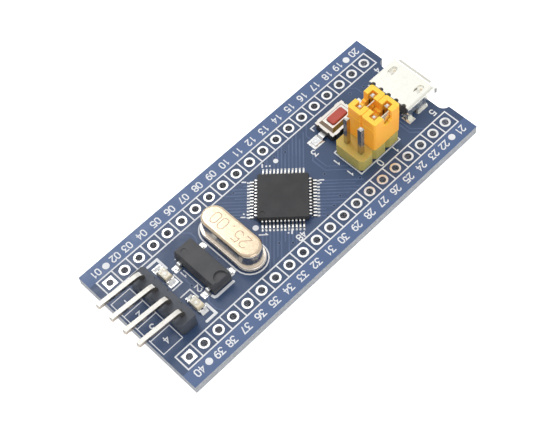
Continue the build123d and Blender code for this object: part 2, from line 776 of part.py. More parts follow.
def latch_window(y):
    x0, x1 = USB_LATCH_X
    window = Pos((x0 + x1) / 2, y) * SlotOverall(x1 - x0, USB_LATCH_W)
    return prism(window, TOP + USB_TOP - 2 * USB_SHEET, TOP + USB_TOP + USB_SHEET)


def latch(y):
    """Spring tongue that dips into the window from its rear end."""
    x0, x1 = USB_LATCH_X
    level = TOP + USB_TOP - USB_SHEET + USB_LATCH_T / 2
    points = [
        (x0 - USB_LATCH_ROOT, level),
        (x0 + USB_LATCH_ROOT, level),
        (x1 - USB_LATCH_GAP, level - USB_LATCH_DIP),
    ]
    width = USB_LATCH_W - 2 * USB_LATCH_GAP
    return Pos(0, y, 0) * bent(points, 0.2, width, USB_LATCH_T)


def usb_tab(sign):
    """Side tab that drops through the board's slot."""
    reach = USB_TAB_LENGTH / 2
    wall = sorted((sign * (USB_WIDTH / 2 - USB_SHEET), sign * USB_WIDTH / 2))
    return block(USB_TAB_X - reach, USB_TAB_X + reach, *wall, USB_TAB_TIP_Z, TOP + USB_WALL_Z)


def usb_foot(sign):
    """Rear foot folded out flat on its pad."""
    x0, x1 = USB_FOOT_X
    half = USB_WIDTH / 2
    wall = sorted((sign * (half - USB_SHEET), sign * half))
    foot = sorted((sign * (half - USB_SHEET), sign * (half + USB_FOOT_OUT)))
    upright = block(x0, x1, *wall, TOP + COPPER, TOP + USB_WALL_Z)
    flat = block(x0, x1, *foot, TOP + COPPER, TOP + COPPER + USB_FOOT_T)
    return upright + flat


USB_TONGUE_Z = (1.35, 1.95)


def usb_tongue():
    """Insulator: a rear wall and the tongue that carries the contacts."""
    wall_x = USB_BACK_X + 1.1
    wall = tube_x(usb_profile(USB_SHEET), USB_BACK_X + 0.15, wall_x)
    low, high = USB_TONGUE_Z
    tongue = block(wall_x, USB_FRONT_X - 1.15, -1.75, 1.75, TOP + low, TOP + high)
    tongue = chamfer(tongue.faces().sort_by(Axis.X)[-1].edges().filter_by(Axis.Y), 0.15)
    body = wall + tongue
    return body - [usb_contact_blank(y) for y in centred(5, USB_CONTACT_PITCH)]


USB_CONTACT_W = 0.3
USB_CONTACT_T = 0.15


def usb_contact_blank(y):
    low = TOP + USB_TONGUE_Z[0]
    points = [
        (USB_FRONT_X - 1.5, low + USB_CONTACT_T / 2),
        (USB_BACK_X + 0.55, low + USB_CONTACT_T / 2),
        (USB_BACK_X + 0.55, TOP + COPPER + USB_CONTACT_T / 2),
        (USB_BACK_X - 0.75, TOP + COPPER + USB_CONTACT_T / 2),
    ]
    return Pos(0, y, 0) * bent(points, 0.2, USB_CONTACT_W, USB_CONTACT_T)


def usb_contacts():
    """Five contacts along the tongue's lower face, out through the back to their pads."""
    return [usb_contact_blank(y) for y in centred(5, USB_CONTACT_PITCH)]


USB_CONTACT_PAD = (1.5, 0.4)
USB_FOOT_PAD = (1.25, 1.55)
USB_FOOT_PAD_Y = 3.5


def usb_pads():
    for y in centred(5, USB_CONTACT_PITCH):
        yield Pos(USB_BACK_X - 0.45, y) * Rectangle(*USB_CONTACT_PAD)
    foot_x = sum(USB_FOOT_X) / 2
    for y in (-USB_FOOT_PAD_Y, USB_FOOT_PAD_Y):
        yield Pos(foot_x, y) * Rectangle(*USB_FOOT_PAD)


def usb_solder():
    """The board's slots filled round the socket's tabs, with a low mound on the underside."""
    tabs = [usb_tab(sign) for sign in (-1, 1)]
    pieces = []
    for slot, foot in zip(usb_slots(*USB_SLOT), usb_slots(*USB_MOUND)):
        mound = Pos(0, 0, -COPPER) * extrude(foot, amount=-USB_MOUND_HEIGHT, taper=40)
        pieces.append(prism(slot, -COPPER, TOP) + mound - tabs)
    return pieces


# ---------------------------------------------------------------- underside

REGULATOR_X = 20.4
REGULATOR_Y = 0.0
REGULATOR_BODY = (1.6, 2.9, 1.1)
REGULATOR_DRAFT = 8
REGULATOR_GAP = 0.1
REGULATOR_LEAD = (0.4, 0.15)
REGULATOR_PAD = (0.8, 0.6)
REGULATOR_PAD_OUT = 0.5
SMALL_PART = (1.6, 0.8)
CAPACITOR_H = 0.8
RESISTOR_H = 0.45
SMALL_TERMINAL = 0.3
SMALL_PAD = (0.85, 0.9)
SMALL_PAD_SHIFT = 0.05
COAT_T = 0.04
COAT_INSET = 0.06
CAPACITORS = (
    (-17.5, 4.9, 0), (-12.8, 4.9, 0), (-5.2, 4.9, 0), (-2.0, 4.9, 0), (1.2, 4.9, 0),
    (4.4, 4.9, 0), (7.6, 4.9, 0), (10.8, 4.9, 0), (-5.6, 0.0, 90), (5.6, 0.0, 90),
    (17.9, 4.0, 90), (17.9, 1.0, 90), (-12.8, 0.0, 90), (22.9, -0.9, 90),
)
RESISTORS = (
    (-17.5, -4.9, 0), (-14.3, -4.9, 0), (-5.2, -4.9, 0), (-2.0, -4.9, 0), (1.2, -4.9, 0),
    (4.4, -4.9, 0), (7.6, -4.9, 0), (-16.4, 1.6, 90), (-16.4, -1.6, 90), (8.4, 0.6, 90),
    (19.6, -4.3, 0), (-2.0, 2.2, 0),
)


def under(shape, x, y, turn):
    """Turn a part drawn upwards from z = 0 over onto the underside at (x, y)."""
    return Pos(x, y, -COPPER) * Rot(180, 0, 0) * Rot(0, 0, turn) * shape


def small_body(height):
    length, width = SMALL_PART
    half = length / 2 - SMALL_TERMINAL
    body = block(-half, half, -width / 2, width / 2, 0, height)
    return fillet(body.edges().filter_by(Axis.X), 0.06)


def small_terminals(height):
    """End caps with rounded outer corners."""
    length, width = SMALL_PART
    caps = []
    for sign in (-1, 1):
        inner = sign * (length / 2 - SMALL_TERMINAL)
        outer = sign * length / 2
        cap = block(min(inner, outer), max(inner, outer), -width / 2, width / 2, 0, height)
        end = cap.faces().sort_by(Axis.X)[-1 if sign > 0 else 0]
        caps.append(fillet(end.edges(), 0.08))
    return caps


def small_solder(height):
    """Solder wedges at both ends of a small part."""
    length, width = SMALL_PART
    pieces = []
    for sign in (-1, 1):
        face_x = sign * length / 2
        toe_x = sign * (length / 2 + 0.4)
        profile = Polyline((face_x, height * 0.6), (face_x, 0), (toe_x, 0), (face_x, height * 0.6))
        sketch = Plane.XZ * make_face(profile)
        pieces.append(extrude(sketch, amount=width / 2 - 0.08, both=True))
    return pieces


def spread(pieces, places):
    return [under(piece, *place) for place in places for piece in pieces]


def resistor_coat():
    length, width = SMALL_PART
    half = length / 2 - SMALL_TERMINAL
    edge = width / 2 - COAT_INSET
    return block(-half, half, -edge, edge, RESISTOR_H, RESISTOR_H + COAT_T)


def regulator_body():
    width, length, height = REGULATOR_BODY
    outline = Rectangle(width, length)
    half = height / 2
    upper = extrude(outline, amount=half, taper=REGULATOR_DRAFT)
    lower = extrude(outline, amount=-half + REGULATOR_GAP, taper=REGULATOR_DRAFT)
    return under(Pos(0, 0, half) * (upper + lower), REGULATOR_X, REGULATOR_Y, 0)


REGULATOR_LEADS = ((1, -0.95), (1, 0.95), (-1, -0.95), (-1, 0.0), (-1, 0.95))


def regulator_leads():
    width, _, height = REGULATOR_BODY
    edge = width / 2
    foot_z = REGULATOR_LEAD[1] / 2
    points = [
        (edge, height / 2),
        (edge + 0.22, height / 2),
        (edge + 0.3, foot_z),
        (edge + 0.65, foot_z),
    ]
    lead = bent(points, 0.08, *REGULATOR_LEAD)
    leads = []
    for sign, y in REGULATOR_LEADS:
        turned = Rot(0, 0, 0 if sign > 0 else 180) * Pos(0, sign * y, 0) * lead
        leads.append(under(turned, REGULATOR_X, REGULATOR_Y, 0))
    return leads


def regulator_pads():
    for sign, y in REGULATOR_LEADS:
        x = sign * (REGULATOR_BODY[0] / 2 + REGULATOR_PAD_OUT)
        yield Pos(REGULATOR_X + x, REGULATOR_Y - y) * Rectangle(*REGULATOR_PAD)


def small_pads():
    for x, y, turn in CAPACITORS + RESISTORS:
        for sign in (-1, 1):
            pad = Pos(sign * (SMALL_PART[0] / 2 + SMALL_PAD_SHIFT), 0) * Rectangle(*SMALL_PAD)
            yield Pos(x, y) * Rot(0, 0, turn) * pad


# ---------------------------------------------------------------- pads and solder

def top_pads():
    flats = list(chip_pads())
    flats += list(clock_pads())
    flats += leds(part_pads(*LED_PAD_Y, LED_WIDTH + 0.1))
    flats += list(switch_pads())
    flats += list(usb_pads())
    return [prism(flat, TOP, TOP + COPPER) for flat in flats]


def bottom_pads():
    flats = list(small_pads()) + list(regulator_pads())
    return [prism(flat, -COPPER, 0) for flat in flats]


def part_solder():
    """Solder against the ends of the small parts on both sides."""
    pieces = leds(end_fillets(LED_LENGTH, LED_WIDTH - 0.2, LED_BASE_T, LED_SOLDER_TOE))
    pieces += spread(small_solder(CAPACITOR_H), CAPACITORS)
    pieces += spread(small_solder(RESISTOR_H), RESISTORS)
    return pieces


def one_led(shape, y):
    pieces = shape if isinstance(shape, list) else [shape]
    return [Pos(LED_X, y, 0) * piece for piece in pieces]


def write(node, shape):
    """Write one node's solids to its own STEP file."""
    solids = []
    for piece in shape if isinstance(shape, list) else [shape]:
        solids += piece.solids()
    export_step(Compound(label=node, children=solids), f"parts/{node}.step")


NODES = {
    "circuit_board": circuit_board(),
    "header_pads": header_pads(),
    "pin_rings": list(pin_rings()),
    "pin_solder": pin_solder(),
    "top_pads": top_pads(),
    "bottom_pads": bottom_pads(),
    "part_solder": part_solder(),
    "main_chip_body": main_chip_body(),
    "main_chip_leads": main_chip_leads(),
    "main_crystal_can": main_crystal_can(),
    "main_crystal_base": main_crystal_base(),
    "main_crystal_wires": main_crystal_wires(),
    "clock_crystal_body": clock_crystal_body(),
    "clock_crystal_leads": clock_crystal_leads(),
    "power_led_base": one_led(led_base(), POWER_LED_Y),
    "power_led_terminals": one_led(led_terminals(), POWER_LED_Y),
    "power_led_lens": one_led(led_lens(), POWER_LED_Y),
    "user_led_base": one_led(led_base(), USER_LED_Y),
    "user_led_terminals": one_led(led_terminals(), USER_LED_Y),
    "user_led_lens": one_led(led_lens(), USER_LED_Y),
    "debug_header_block": debug_header_block(),
    "debug_header_pins": debug_header_pins(),
    "boot_header_block": boot_header_block(),
    "boot_header_pins": boot_header_pins(),
    "jumper_cap_a": jumper_cap(BOOT_Y[0]),
    "jumper_contact_a": jumper_contact(BOOT_Y[0]),
    "jumper_cap_b": jumper_cap(BOOT_Y[1]),
    "jumper_contact_b": jumper_contact(BOOT_Y[1]),
    "reset_switch_base": reset_switch_base(),
    "reset_switch_cover": reset_switch_cover(),
    "reset_switch_button": reset_switch_button(),
    "reset_switch_dome": reset_switch_dome(),
    "reset_switch_terminals": reset_switch_terminals(),
    "usb_shell": usb_shell(),
    "usb_tongue": usb_tongue(),
    "usb_contacts": usb_contacts(),
    "usb_solder": usb_solder(),
    "regulator_body": regulator_body(),
    "regulator_leads": regulator_leads(),
    "capacitor_bodies": spread([small_body(CAPACITOR_H)], CAPACITORS),
    "capacitor_terminals": spread(small_terminals(CAPACITOR_H), CAPACITORS),
    "resistor_bodies": spread([small_body(RESISTOR_H)], RESISTORS),
    "resistor_coats": spread([resistor_coat()], RESISTORS),
    "resistor_terminals": spread(small_terminals(RESISTOR_H), RESISTORS),
}

os.makedirs("parts", exist_ok=True)
for node, shape in NODES.items():
    write(node, shape)
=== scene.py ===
"""Looks, ink, copper and light for a small microcontroller board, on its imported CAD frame.

Lengths are in millimetres, except where a comment says metres, and are turned into metres
where meshes are made.
"""

import math

import bpy
from mathutils import Matrix, Vector


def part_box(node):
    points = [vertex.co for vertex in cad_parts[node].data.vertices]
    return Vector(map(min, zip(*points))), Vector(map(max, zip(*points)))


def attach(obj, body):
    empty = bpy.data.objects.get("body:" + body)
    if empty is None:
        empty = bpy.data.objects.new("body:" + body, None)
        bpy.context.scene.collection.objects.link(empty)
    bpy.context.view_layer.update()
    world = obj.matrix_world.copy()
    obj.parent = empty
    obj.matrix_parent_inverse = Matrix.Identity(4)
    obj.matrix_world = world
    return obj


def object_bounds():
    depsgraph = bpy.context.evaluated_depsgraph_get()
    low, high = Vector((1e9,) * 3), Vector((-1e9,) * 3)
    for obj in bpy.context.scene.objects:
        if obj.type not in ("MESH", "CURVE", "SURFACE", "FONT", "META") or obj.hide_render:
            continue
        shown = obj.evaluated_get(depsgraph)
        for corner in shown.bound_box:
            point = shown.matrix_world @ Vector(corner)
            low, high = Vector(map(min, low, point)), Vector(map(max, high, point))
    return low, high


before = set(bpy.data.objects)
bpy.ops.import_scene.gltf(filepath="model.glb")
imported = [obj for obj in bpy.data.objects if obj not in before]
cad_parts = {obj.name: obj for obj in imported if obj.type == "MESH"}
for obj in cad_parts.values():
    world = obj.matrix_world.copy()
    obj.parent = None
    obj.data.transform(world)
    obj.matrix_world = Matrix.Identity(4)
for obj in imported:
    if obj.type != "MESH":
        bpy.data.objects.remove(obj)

CAD_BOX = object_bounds()
MM = 0.001
BOARD_BODY = "board"


def box_mm(node):
    """A CAD node's lowest and highest corners in millimetres."""
    low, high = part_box(node)
    return low / MM, high / MM


def centre_of(node):
    low, high = box_mm(node)
    return (low + high) / 2


BOARD_LOW, BOARD_HIGH = box_mm("circuit_board")
TOP = BOARD_HIGH.z
BOTTOM = BOARD_LOW.z
PADS_HIGH = box_mm("header_pads")[1]
ROW_COUNT = 20
RING = 1.55
HOLE_R = 0.5
ROW_X = PADS_HIGH.x - RING / 2
ROW_Y = PADS_HIGH.y - RING / 2
PITCH = 2 * ROW_X / (ROW_COUNT - 1)
CELL_EDGE_X = ROW_X + PITCH / 2


# ---------------------------------------------------------------- materials

class Look:
    """A principled material whose nodes are wired with short calls; textures work in millimetres."""

    def __init__(self, name):
        self.material = bpy.data.materials.new(name)
        self.material.use_nodes = True
        self.tree = self.material.node_tree
        self.tree.nodes.clear()
        self.bsdf = self.node("ShaderNodeBsdfPrincipled")
        output = self.node("ShaderNodeOutputMaterial")
        self.link(self.bsdf.outputs["BSDF"], output.inputs["Surface"])
        scale = self.node("ShaderNodeVectorMath")
        scale.operation = "SCALE"
        scale.inputs["Scale"].default_value = 1 / MM
        self.link(self.node("ShaderNodeTexCoord").outputs["Object"], scale.inputs[0])
        self.mm = scale.outputs["Vector"]
        self.height = None
        self.edge_normal = None

    def node(self, kind):
        return self.tree.nodes.new(kind)

    def link(self, source, target):
        self.tree.links.new(source, target)

    def feed(self, target, value):
        """Put a socket, a number or a colour into an input."""
        if hasattr(value, "links"):
            self.link(value, target)
        elif target.type == "RGBA" and not isinstance(value, float):
            target.default_value = (*value, 1.0)
        else:
            target.default_value = value

    def stretched(self, stretch):
        mapping = self.node("ShaderNodeMapping")
        mapping.inputs["Scale"].default_value = stretch
        self.link(self.mm, mapping.inputs["Vector"])
        return mapping.outputs["Vector"]

    def noise(self, scale, detail=3.0, stretch=None, rough=0.5):
        """Noise with scale cells per millimetre."""
        noise = self.node("ShaderNodeTexNoise")
        noise.inputs["Scale"].default_value = scale
        noise.inputs["Detail"].default_value = detail
        noise.inputs["Roughness"].default_value = rough
        self.link(self.stretched(stretch) if stretch else self.mm, noise.inputs["Vector"])
        return noise.outputs["Fac"]

    def spots(self, scale):
        """Distance to scattered points, scale points per millimetre."""
        voronoi = self.node("ShaderNodeTexVoronoi")
        voronoi.inputs["Scale"].default_value = scale
        self.link(self.mm, voronoi.inputs["Vector"])
        return voronoi.outputs["Distance"]

    def waves(self, axis, per_mm, distortion=0.0):
        wave = self.node("ShaderNodeTexWave")
        wave.bands_direction = axis
        wave.inputs["Scale"].default_value = per_mm * math.pi / 10
        wave.inputs["Distortion"].default_value = distortion
        self.link(self.mm, wave.inputs["Vector"])
        return wave.outputs["Fac"]

    def math(self, operation, first, second=0.0):
        node = self.node("ShaderNodeMath")
        node.operation = operation
        self.feed(node.inputs[0], first)
        self.feed(node.inputs[1], second)
        return node.outputs[0]

    def band(self, value, low, high, out_low=0.0, out_high=1.0):
        """Map low..high to out_low..out_high, clamped and smooth."""
        node = self.node("ShaderNodeMapRange")
        node.interpolation_type = "SMOOTHSTEP"
        self.feed(node.inputs["Value"], value)
        for name, number in (("From Min", low), ("From Max", high),
                             ("To Min", out_low), ("To Max", out_high)):
            node.inputs[name].default_value = number
        return node.outputs["Result"]

    def mix(self, fac, first, second):
        node = self.node("ShaderNodeMix")
        node.data_type = "RGBA"
        self.feed(node.inputs["Factor"], fac)
        self.feed(node.inputs[6], first)
        self.feed(node.inputs[7], second)
        return node.outputs[2]

    def axis(self, source, letter):
        split = self.node("ShaderNodeSeparateXYZ")
        self.link(source, split.inputs[0])
        return split.outputs[letter]

    def facing(self, letter):
        """How far the surface faces along an axis, from 0 to 1."""
        geometry = self.node("ShaderNodeNewGeometry")
        return self.math("ABSOLUTE", self.axis(geometry.outputs["True Normal"], letter))

    def raise_by(self, fac, depth_mm):
        """Add a relief of depth_mm to the bump."""
        part = self.math("MULTIPLY", fac, depth_mm * MM)
        self.height = part if self.height is None else self.math("ADD", self.height, part)

    def soft_edges(self, radius_mm):
        bevel = self.node("ShaderNodeBevel")
        bevel.samples = 4
        bevel.inputs["Radius"].default_value = radius_mm * MM
        self.edge_normal = bevel.outputs["Normal"]

    def set(self, **values):
        """Set inputs by name, such as base_color for Base Color."""
        for name, value in values.items():
            title = name.replace("_", " ").title().replace("Ior", "IOR")
            self.feed(self.bsdf.inputs[title], value)

    def done(self):
        """Lay the relief over the softened edges and hand over the material."""
        normal = self.edge_normal
        if self.height is not None:
            bump = self.node("ShaderNodeBump")
            bump.inputs["Strength"].default_value = 1.0
            bump.inputs["Distance"].default_value = 1.0
            self.link(self.height, bump.inputs["Height"])
            if normal is not None:
                self.link(normal, bump.inputs["Normal"])
            normal = bump.outputs["Normal"]
        if normal is not None:
            self.link(normal, self.bsdf.inputs["Normal"])
        return self.material


# The middle range of a noise texture, and where a surface turns from a side into a face.
NOISE_SPAN = (0.3, 0.7)
FACE_SPAN = (0.3, 0.7)

MASK_INNER = ((0.032, 0.064, 0.146), (0.049, 0.090, 0.192))
MASK_OUTER = ((0.069, 0.124, 0.272), (0.090, 0.155, 0.320))
POUR_EDGE_Y = (8.95, 9.05)
WEAVES_PER_MM = 2.2
WEAVE_TONE = (0.12, 0.17, 0.30)
DUST_RANGE = (0.03, 0.07)
DUST_TONE = (0.42, 0.46, 0.52)
PLIES_PER_MM = 5.5
PLY_TONES = ((0.21, 0.225, 0.25), (0.34, 0.355, 0.38))
FIBRE_TONE = (0.46, 0.475, 0.50)


def board_look():
    """Blue mask on both faces with the copper pour showing through; cut laminate at the edges."""
    look = Look("board_mask_and_edge")
    face = look.band(look.facing("Z"), 0.4, 0.6)
    cut = look.math("SUBTRACT", 1.0, face)
    y = look.math("ABSOLUTE", look.axis(look.mm, "Y"))
    inner = look.mix(look.noise(0.16, 2.0), *MASK_INNER)
    outer = look.mix(look.noise(0.12, 2.0), *MASK_OUTER)
    mask = look.mix(look.band(y, *POUR_EDGE_Y), inner, outer)
    weave = look.math("MULTIPLY", look.waves("X", WEAVES_PER_MM, 0.6), look.waves("Y", WEAVES_PER_MM, 0.6))
    mask = look.mix(look.math("MULTIPLY", weave, 0.08), mask, WEAVE_TONE)
    dust = look.band(look.spots(1.6), *DUST_RANGE, 1.0, 0.0)
    mask = look.mix(look.math("MULTIPLY", dust, 0.14), mask, DUST_TONE)
    plies = look.waves("Z", PLIES_PER_MM, 1.2)
    fibres = look.noise(2.2, 5.0, stretch=(1.0, 1.0, 9.0))
    edge = look.mix(plies, *PLY_TONES)
    edge = look.mix(look.band(fibres, 0.45, 0.62), edge, FIBRE_TONE)
    look.raise_by(weave, 0.0012)
    look.raise_by(look.noise(5.0, 3.0), 0.0015)
    look.raise_by(look.math("MULTIPLY", fibres, cut), 0.03)
    gloss = look.band(look.noise(0.8, 4.0), *NOISE_SPAN, 0.30, 0.42)
    look.set(base_color=look.mix(face, edge, mask),
             roughness=look.math("ADD", gloss, look.math("MULTIPLY", cut, 0.35)),
             specular_ior_level=0.5)
    return look.done()


def film_look(name, tone, other, rough, grain=6.0, relief=0.0015):
    """A thin printed or coated film: slow colour drift, thin spots and a fine grain."""
    look = Look(name)
    drift = look.mix(look.band(look.noise(0.5, 3.0), 0.35, 0.65), tone, other)
    thin = look.band(look.noise(grain * 1.5, 4.0), 0.60, 0.80)
    deep = tuple(channel * 0.7 for channel in other)
    look.raise_by(look.noise(grain * 2, 3.0), relief)
    look.set(base_color=look.mix(look.math("MULTIPLY", thin, 0.4), drift, deep),
             roughness=look.band(look.noise(grain), *NOISE_SPAN, rough * 0.85, rough * 1.15))
    return look.done()


def metal_look(name, tone, dark, rough, grain=3.0, relief=0.004, streak=None, edges=0.03, side=None,
               painted_shade_span=FACE_SPAN):
    """Bare or plated metal: tone with darker patches, uneven gloss and a fine relief; side, when given, is
    a painted shade and painted dark reflection laid on the upright faces.
    """
    look = Look(name)
    patches = look.noise(grain * 0.4, 4.0)
    fine = look.noise(grain, 4.0, stretch=streak)
    look.raise_by(fine, relief)
    look.soft_edges(edges)
    colour = look.mix(look.band(patches, 0.45, 0.75), tone, dark)
    # side paints shade and dark reflection onto the upright faces.
    if side:
        colour = look.mix(look.band(look.facing("Z"), *painted_shade_span), side, colour)
    look.set(base_color=colour, metallic=1.0,
             roughness=look.band(fine, *NOISE_SPAN, rough * 0.8, rough * 1.3))
    return look.done()


CAN_STEP_Z = 1.0
CAN_STEP_FADE = 0.1
CAN_LID = ((0.76, 0.62, 0.45), (0.70, 0.565, 0.41))
# The rim tone is a painted highlight, brighter than the same steel of the lid, and the wall tone is painted
# shade and dark reflection.
CAN_RIM_HIGHLIGHT = ((0.97, 0.89, 0.79), (0.86, 0.78, 0.69))
CAN_WALL_SHADE = (0.62, 0.57, 0.51)


def can_look():
    """Drawn steel can: a warm matt lid, walls painted darker as painted shade and dark reflection, and a
    rim at the board painted brighter as a painted highlight.
    """
    look = Look("crystal_can")
    fine = look.noise(2.0, 4.0, stretch=(6.0, 1.0, 1.0))
    look.raise_by(fine, 0.0015)
    look.soft_edges(0.03)
    step_z = TOP + CAN_STEP_Z
    lid = look.mix(look.noise(0.5, 3.0), *CAN_LID)
    rim_highlight = look.mix(look.noise(1.5, 3.0), *CAN_RIM_HIGHLIGHT)
    high = look.band(look.axis(look.mm, "Z"), step_z, step_z + CAN_STEP_FADE)
    # Walls above the step take painted shade; the rim and the walls below the step take a painted
    # highlight.
    wall_shade = look.mix(high, rim_highlight, CAN_WALL_SHADE)
    upward = look.mix(high, rim_highlight, lid)
    look.set(base_color=look.mix(look.band(look.facing("Z"), *FACE_SPAN), wall_shade, upward), metallic=1.0,
             roughness=look.band(fine, *NOISE_SPAN, 0.15, 0.23))
    return look.done()


CHIP_PAD_FADE = (6.9, 7.1)
PAD_BRIGHT = ((0.90, 0.90, 0.89), (0.52, 0.50, 0.48))
# These darker tones are painted shade for the pads round the microcontroller.
PAD_SHADE = ((0.64, 0.64, 0.63), (0.40, 0.41, 0.43))


def pad_look():
    """Tinned pads with lumpy solder, painted darker round the microcontroller as painted shade between its
    leads.
    """
    look = Look("tinned_small_pads")
    centre = centre_of("main_chip_body")
    from_chip = look.node("ShaderNodeVectorMath")
    from_chip.operation = "DISTANCE"
    look.link(look.mm, from_chip.inputs[0])
    from_chip.inputs[1].default_value = (centre.x, centre.y, TOP)
    clear = look.band(from_chip.outputs["Value"], *CHIP_PAD_FADE)
    patches = look.band(look.noise(2.4, 4.0), 0.40, 0.70)
    bright = look.mix(patches, *PAD_BRIGHT)
    shaded = look.mix(patches, *PAD_SHADE)
    look.raise_by(look.noise(3.0, 3.0), 0.010)
    look.soft_edges(0.03)
    # Pads near the chip take the darker tones: painted shade between its leads.
    look.set(base_color=look.mix(clear, shaded, bright), metallic=1.0,
             roughness=look.band(patches, 0.0, 1.0, 0.28, 0.42))
    return look.done()


def plastic_look(name, tone, deep, rough, grain=12.0, relief=0.003, glow=0.0, edges=0.05, top=None,
                 fill=0.0):
    """Moulded plastic: fine grain, slow colour drift and scuffs.

    top is a tone painted on upward faces as painted light from above, glow is how much light passes under
    the surface, and fill is a faint light of its own that stands for what bounces inside a bright part.
    """
    look = Look(name)
    drift = look.noise(0.5, 3.0)
    fine = look.noise(grain, 3.0)
    look.raise_by(fine, relief)
    look.soft_edges(edges)
    scuff = look.band(look.noise(1.6, 6.0, rough=0.7), 0.62, 0.72)
    colour = look.mix(look.band(drift, *NOISE_SPAN), tone, deep)
    # Upward faces take the top tone: painted light from above.
    if top:
        colour = look.mix(look.band(look.facing("Z"), 0.5, 0.9), colour, top)
    pale = tuple(min(1.0, channel * 1.25 + 0.02) for channel in tone)
    colour = look.mix(look.math("MULTIPLY", scuff, 0.35), colour, pale)
    look.set(base_color=colour, roughness=look.band(fine, *NOISE_SPAN, rough * 0.85, rough * 1.15))
    if glow:
        look.set(subsurface_weight=glow, subsurface_scale=MM,
                 subsurface_radius=(0.9, 0.45, 0.15))
    if fill:
        look.set(emission_color=tone, emission_strength=fill)
    return look.done()


LED_CORE_R = (0.10, 0.20)
LED_RING_R = 0.40
LED_RING_HALF = (0.07, 0.15)
LED_END_FADE = (-0.75, -0.35)
LED_RESIN = ((0.80, 0.77, 0.64), (0.86, 0.84, 0.75))
# The warm end tone is a painted reflection at one end of the lens, and the side tone a painted shade on its
# upright faces.
LED_END_GLINT = (0.84, 0.72, 0.54)
LED_RING = (0.60, 0.50, 0.36)
LED_CORE = (1.0, 1.0, 0.97)
LED_SIDE_SHADE = (0.78, 0.70, 0.52)


def lens_look(name, base_node):
    """Pale resin that shows a bright chip and the darker ring of its cup, with a warm painted reflection at
    one end and painted shade on its upright faces.
    """
    look = Look(name)
    led = centre_of(base_node)
    offset = look.node("ShaderNodeVectorMath")
    offset.operation = "SUBTRACT"
    look.link(look.mm, offset.inputs[0])
    offset.inputs[1].default_value = (led.x, led.y, 0.0)
    x, y = (look.axis(offset.outputs["Vector"], letter) for letter in "XY")
    radius = look.math("SQRT", look.math("ADD", look.math("MULTIPLY", x, x), look.math("MULTIPLY", y, y)))
    body = look.mix(look.noise(1.5), *LED_RESIN)
    # One end takes a warm painted reflection.
    body = look.mix(look.band(y, *LED_END_FADE, 1.0, 0.0), body, LED_END_GLINT)
    from_ring = look.math("ABSOLUTE", look.math("SUBTRACT", radius, LED_RING_R))
    body = look.mix(look.band(from_ring, *LED_RING_HALF, 0.6, 0.0), body, LED_RING)
    body = look.mix(look.band(radius, *LED_CORE_R, 0.9, 0.0), body, LED_CORE)
    look.raise_by(look.noise(4.0, 3.0), 0.004)
    look.soft_edges(0.12)
    # Upright faces take the side tone: painted shade.
    look.set(base_color=look.mix(look.band(look.facing("Z"), *FACE_SPAN), LED_SIDE_SHADE, body),
             roughness=look.band(look.noise(3.0), *NOISE_SPAN, 0.05, 0.14), ior=1.5,
             subsurface_weight=0.4, subsurface_scale=MM, subsurface_radius=(0.3, 0.25, 0.18))
    return look.done()


BOARD = board_look()
TRACK = film_look("mask_over_track", (0.070, 0.115, 0.235), (0.090, 0.140, 0.275), 0.34)
VIA = film_look("mask_over_via", (0.012, 0.018, 0.034), (0.018, 0.026, 0.048), 0.50)
INK = film_look("printed_ink", (0.92, 0.93, 0.95), (0.84, 0.86, 0.90), 0.55, grain=7.0, relief=0.003)
ENGRAVED = film_look("engraved_steel", (0.40, 0.24, 0.17), (0.50, 0.32, 0.22), 0.45, grain=9.0)
TIN = metal_look("tinned_pad", (0.86, 0.86, 0.86), (0.66, 0.67, 0.70), 0.34, grain=4.0, relief=0.008)
PAD = pad_look()
LEAD = metal_look("tinned_lead", (0.80, 0.80, 0.80), (0.52, 0.53, 0.56), 0.26, grain=8.0, relief=0.003)
# The leads' upright faces carry a near-black painted shade and painted dark reflection.
CHIP_LEAD = metal_look("chip_lead", (0.95, 0.94, 0.91), (0.80, 0.79, 0.77), 0.22, grain=8.0, relief=0.002,
                       side=(0.16, 0.16, 0.17), painted_shade_span=(0.75, 0.95))
SOLDER = metal_look("solder", (0.82, 0.82, 0.82), (0.50, 0.51, 0.54), 0.20, grain=3.0, relief=0.012)
# The pins' upright faces carry a darker brown painted shade.
PIN = metal_look("header_pin", (0.86, 0.84, 0.78), (0.78, 0.76, 0.71), 0.20, grain=5.0, relief=0.0005,
                 streak=(1.0, 6.0, 1.0), side=(0.52, 0.45, 0.38))
CAN = can_look()
SHELL = metal_look("usb_shell", (0.97, 0.96, 0.88), (0.93, 0.92, 0.84), 0.30, grain=2.4, relief=0.0015,
                   streak=(1.0, 5.0, 1.0))
# The cover's upright walls carry a brown painted shade and painted dark reflection.
COVER = metal_look("switch_cover", (0.98, 0.93, 0.86), (0.92, 0.86, 0.80), 0.10, grain=3.0, relief=0.0005,
                   edges=0.015, side=(0.44, 0.33, 0.25), painted_shade_span=(0.7, 0.9))
BRONZE = metal_look("contact_bronze", (0.86, 0.76, 0.58), (0.66, 0.56, 0.42), 0.25, grain=5.0)
GOLD = metal_look("contact_gold", (0.93, 0.76, 0.42), (0.76, 0.58, 0.30), 0.22, grain=5.0)
EPOXY = plastic_look("chip_epoxy", (0.028, 0.028, 0.031), (0.038, 0.038, 0.041), 0.55, grain=16.0,
                     relief=0.008)
CRYSTAL_PLASTIC = plastic_look("crystal_epoxy", (0.058, 0.060, 0.066), (0.076, 0.077, 0.084), 0.52,
                               grain=14.0, relief=0.007)
BLACK = plastic_look("black_nylon", (0.060, 0.070, 0.088), (0.078, 0.088, 0.110), 0.46, grain=9.0)
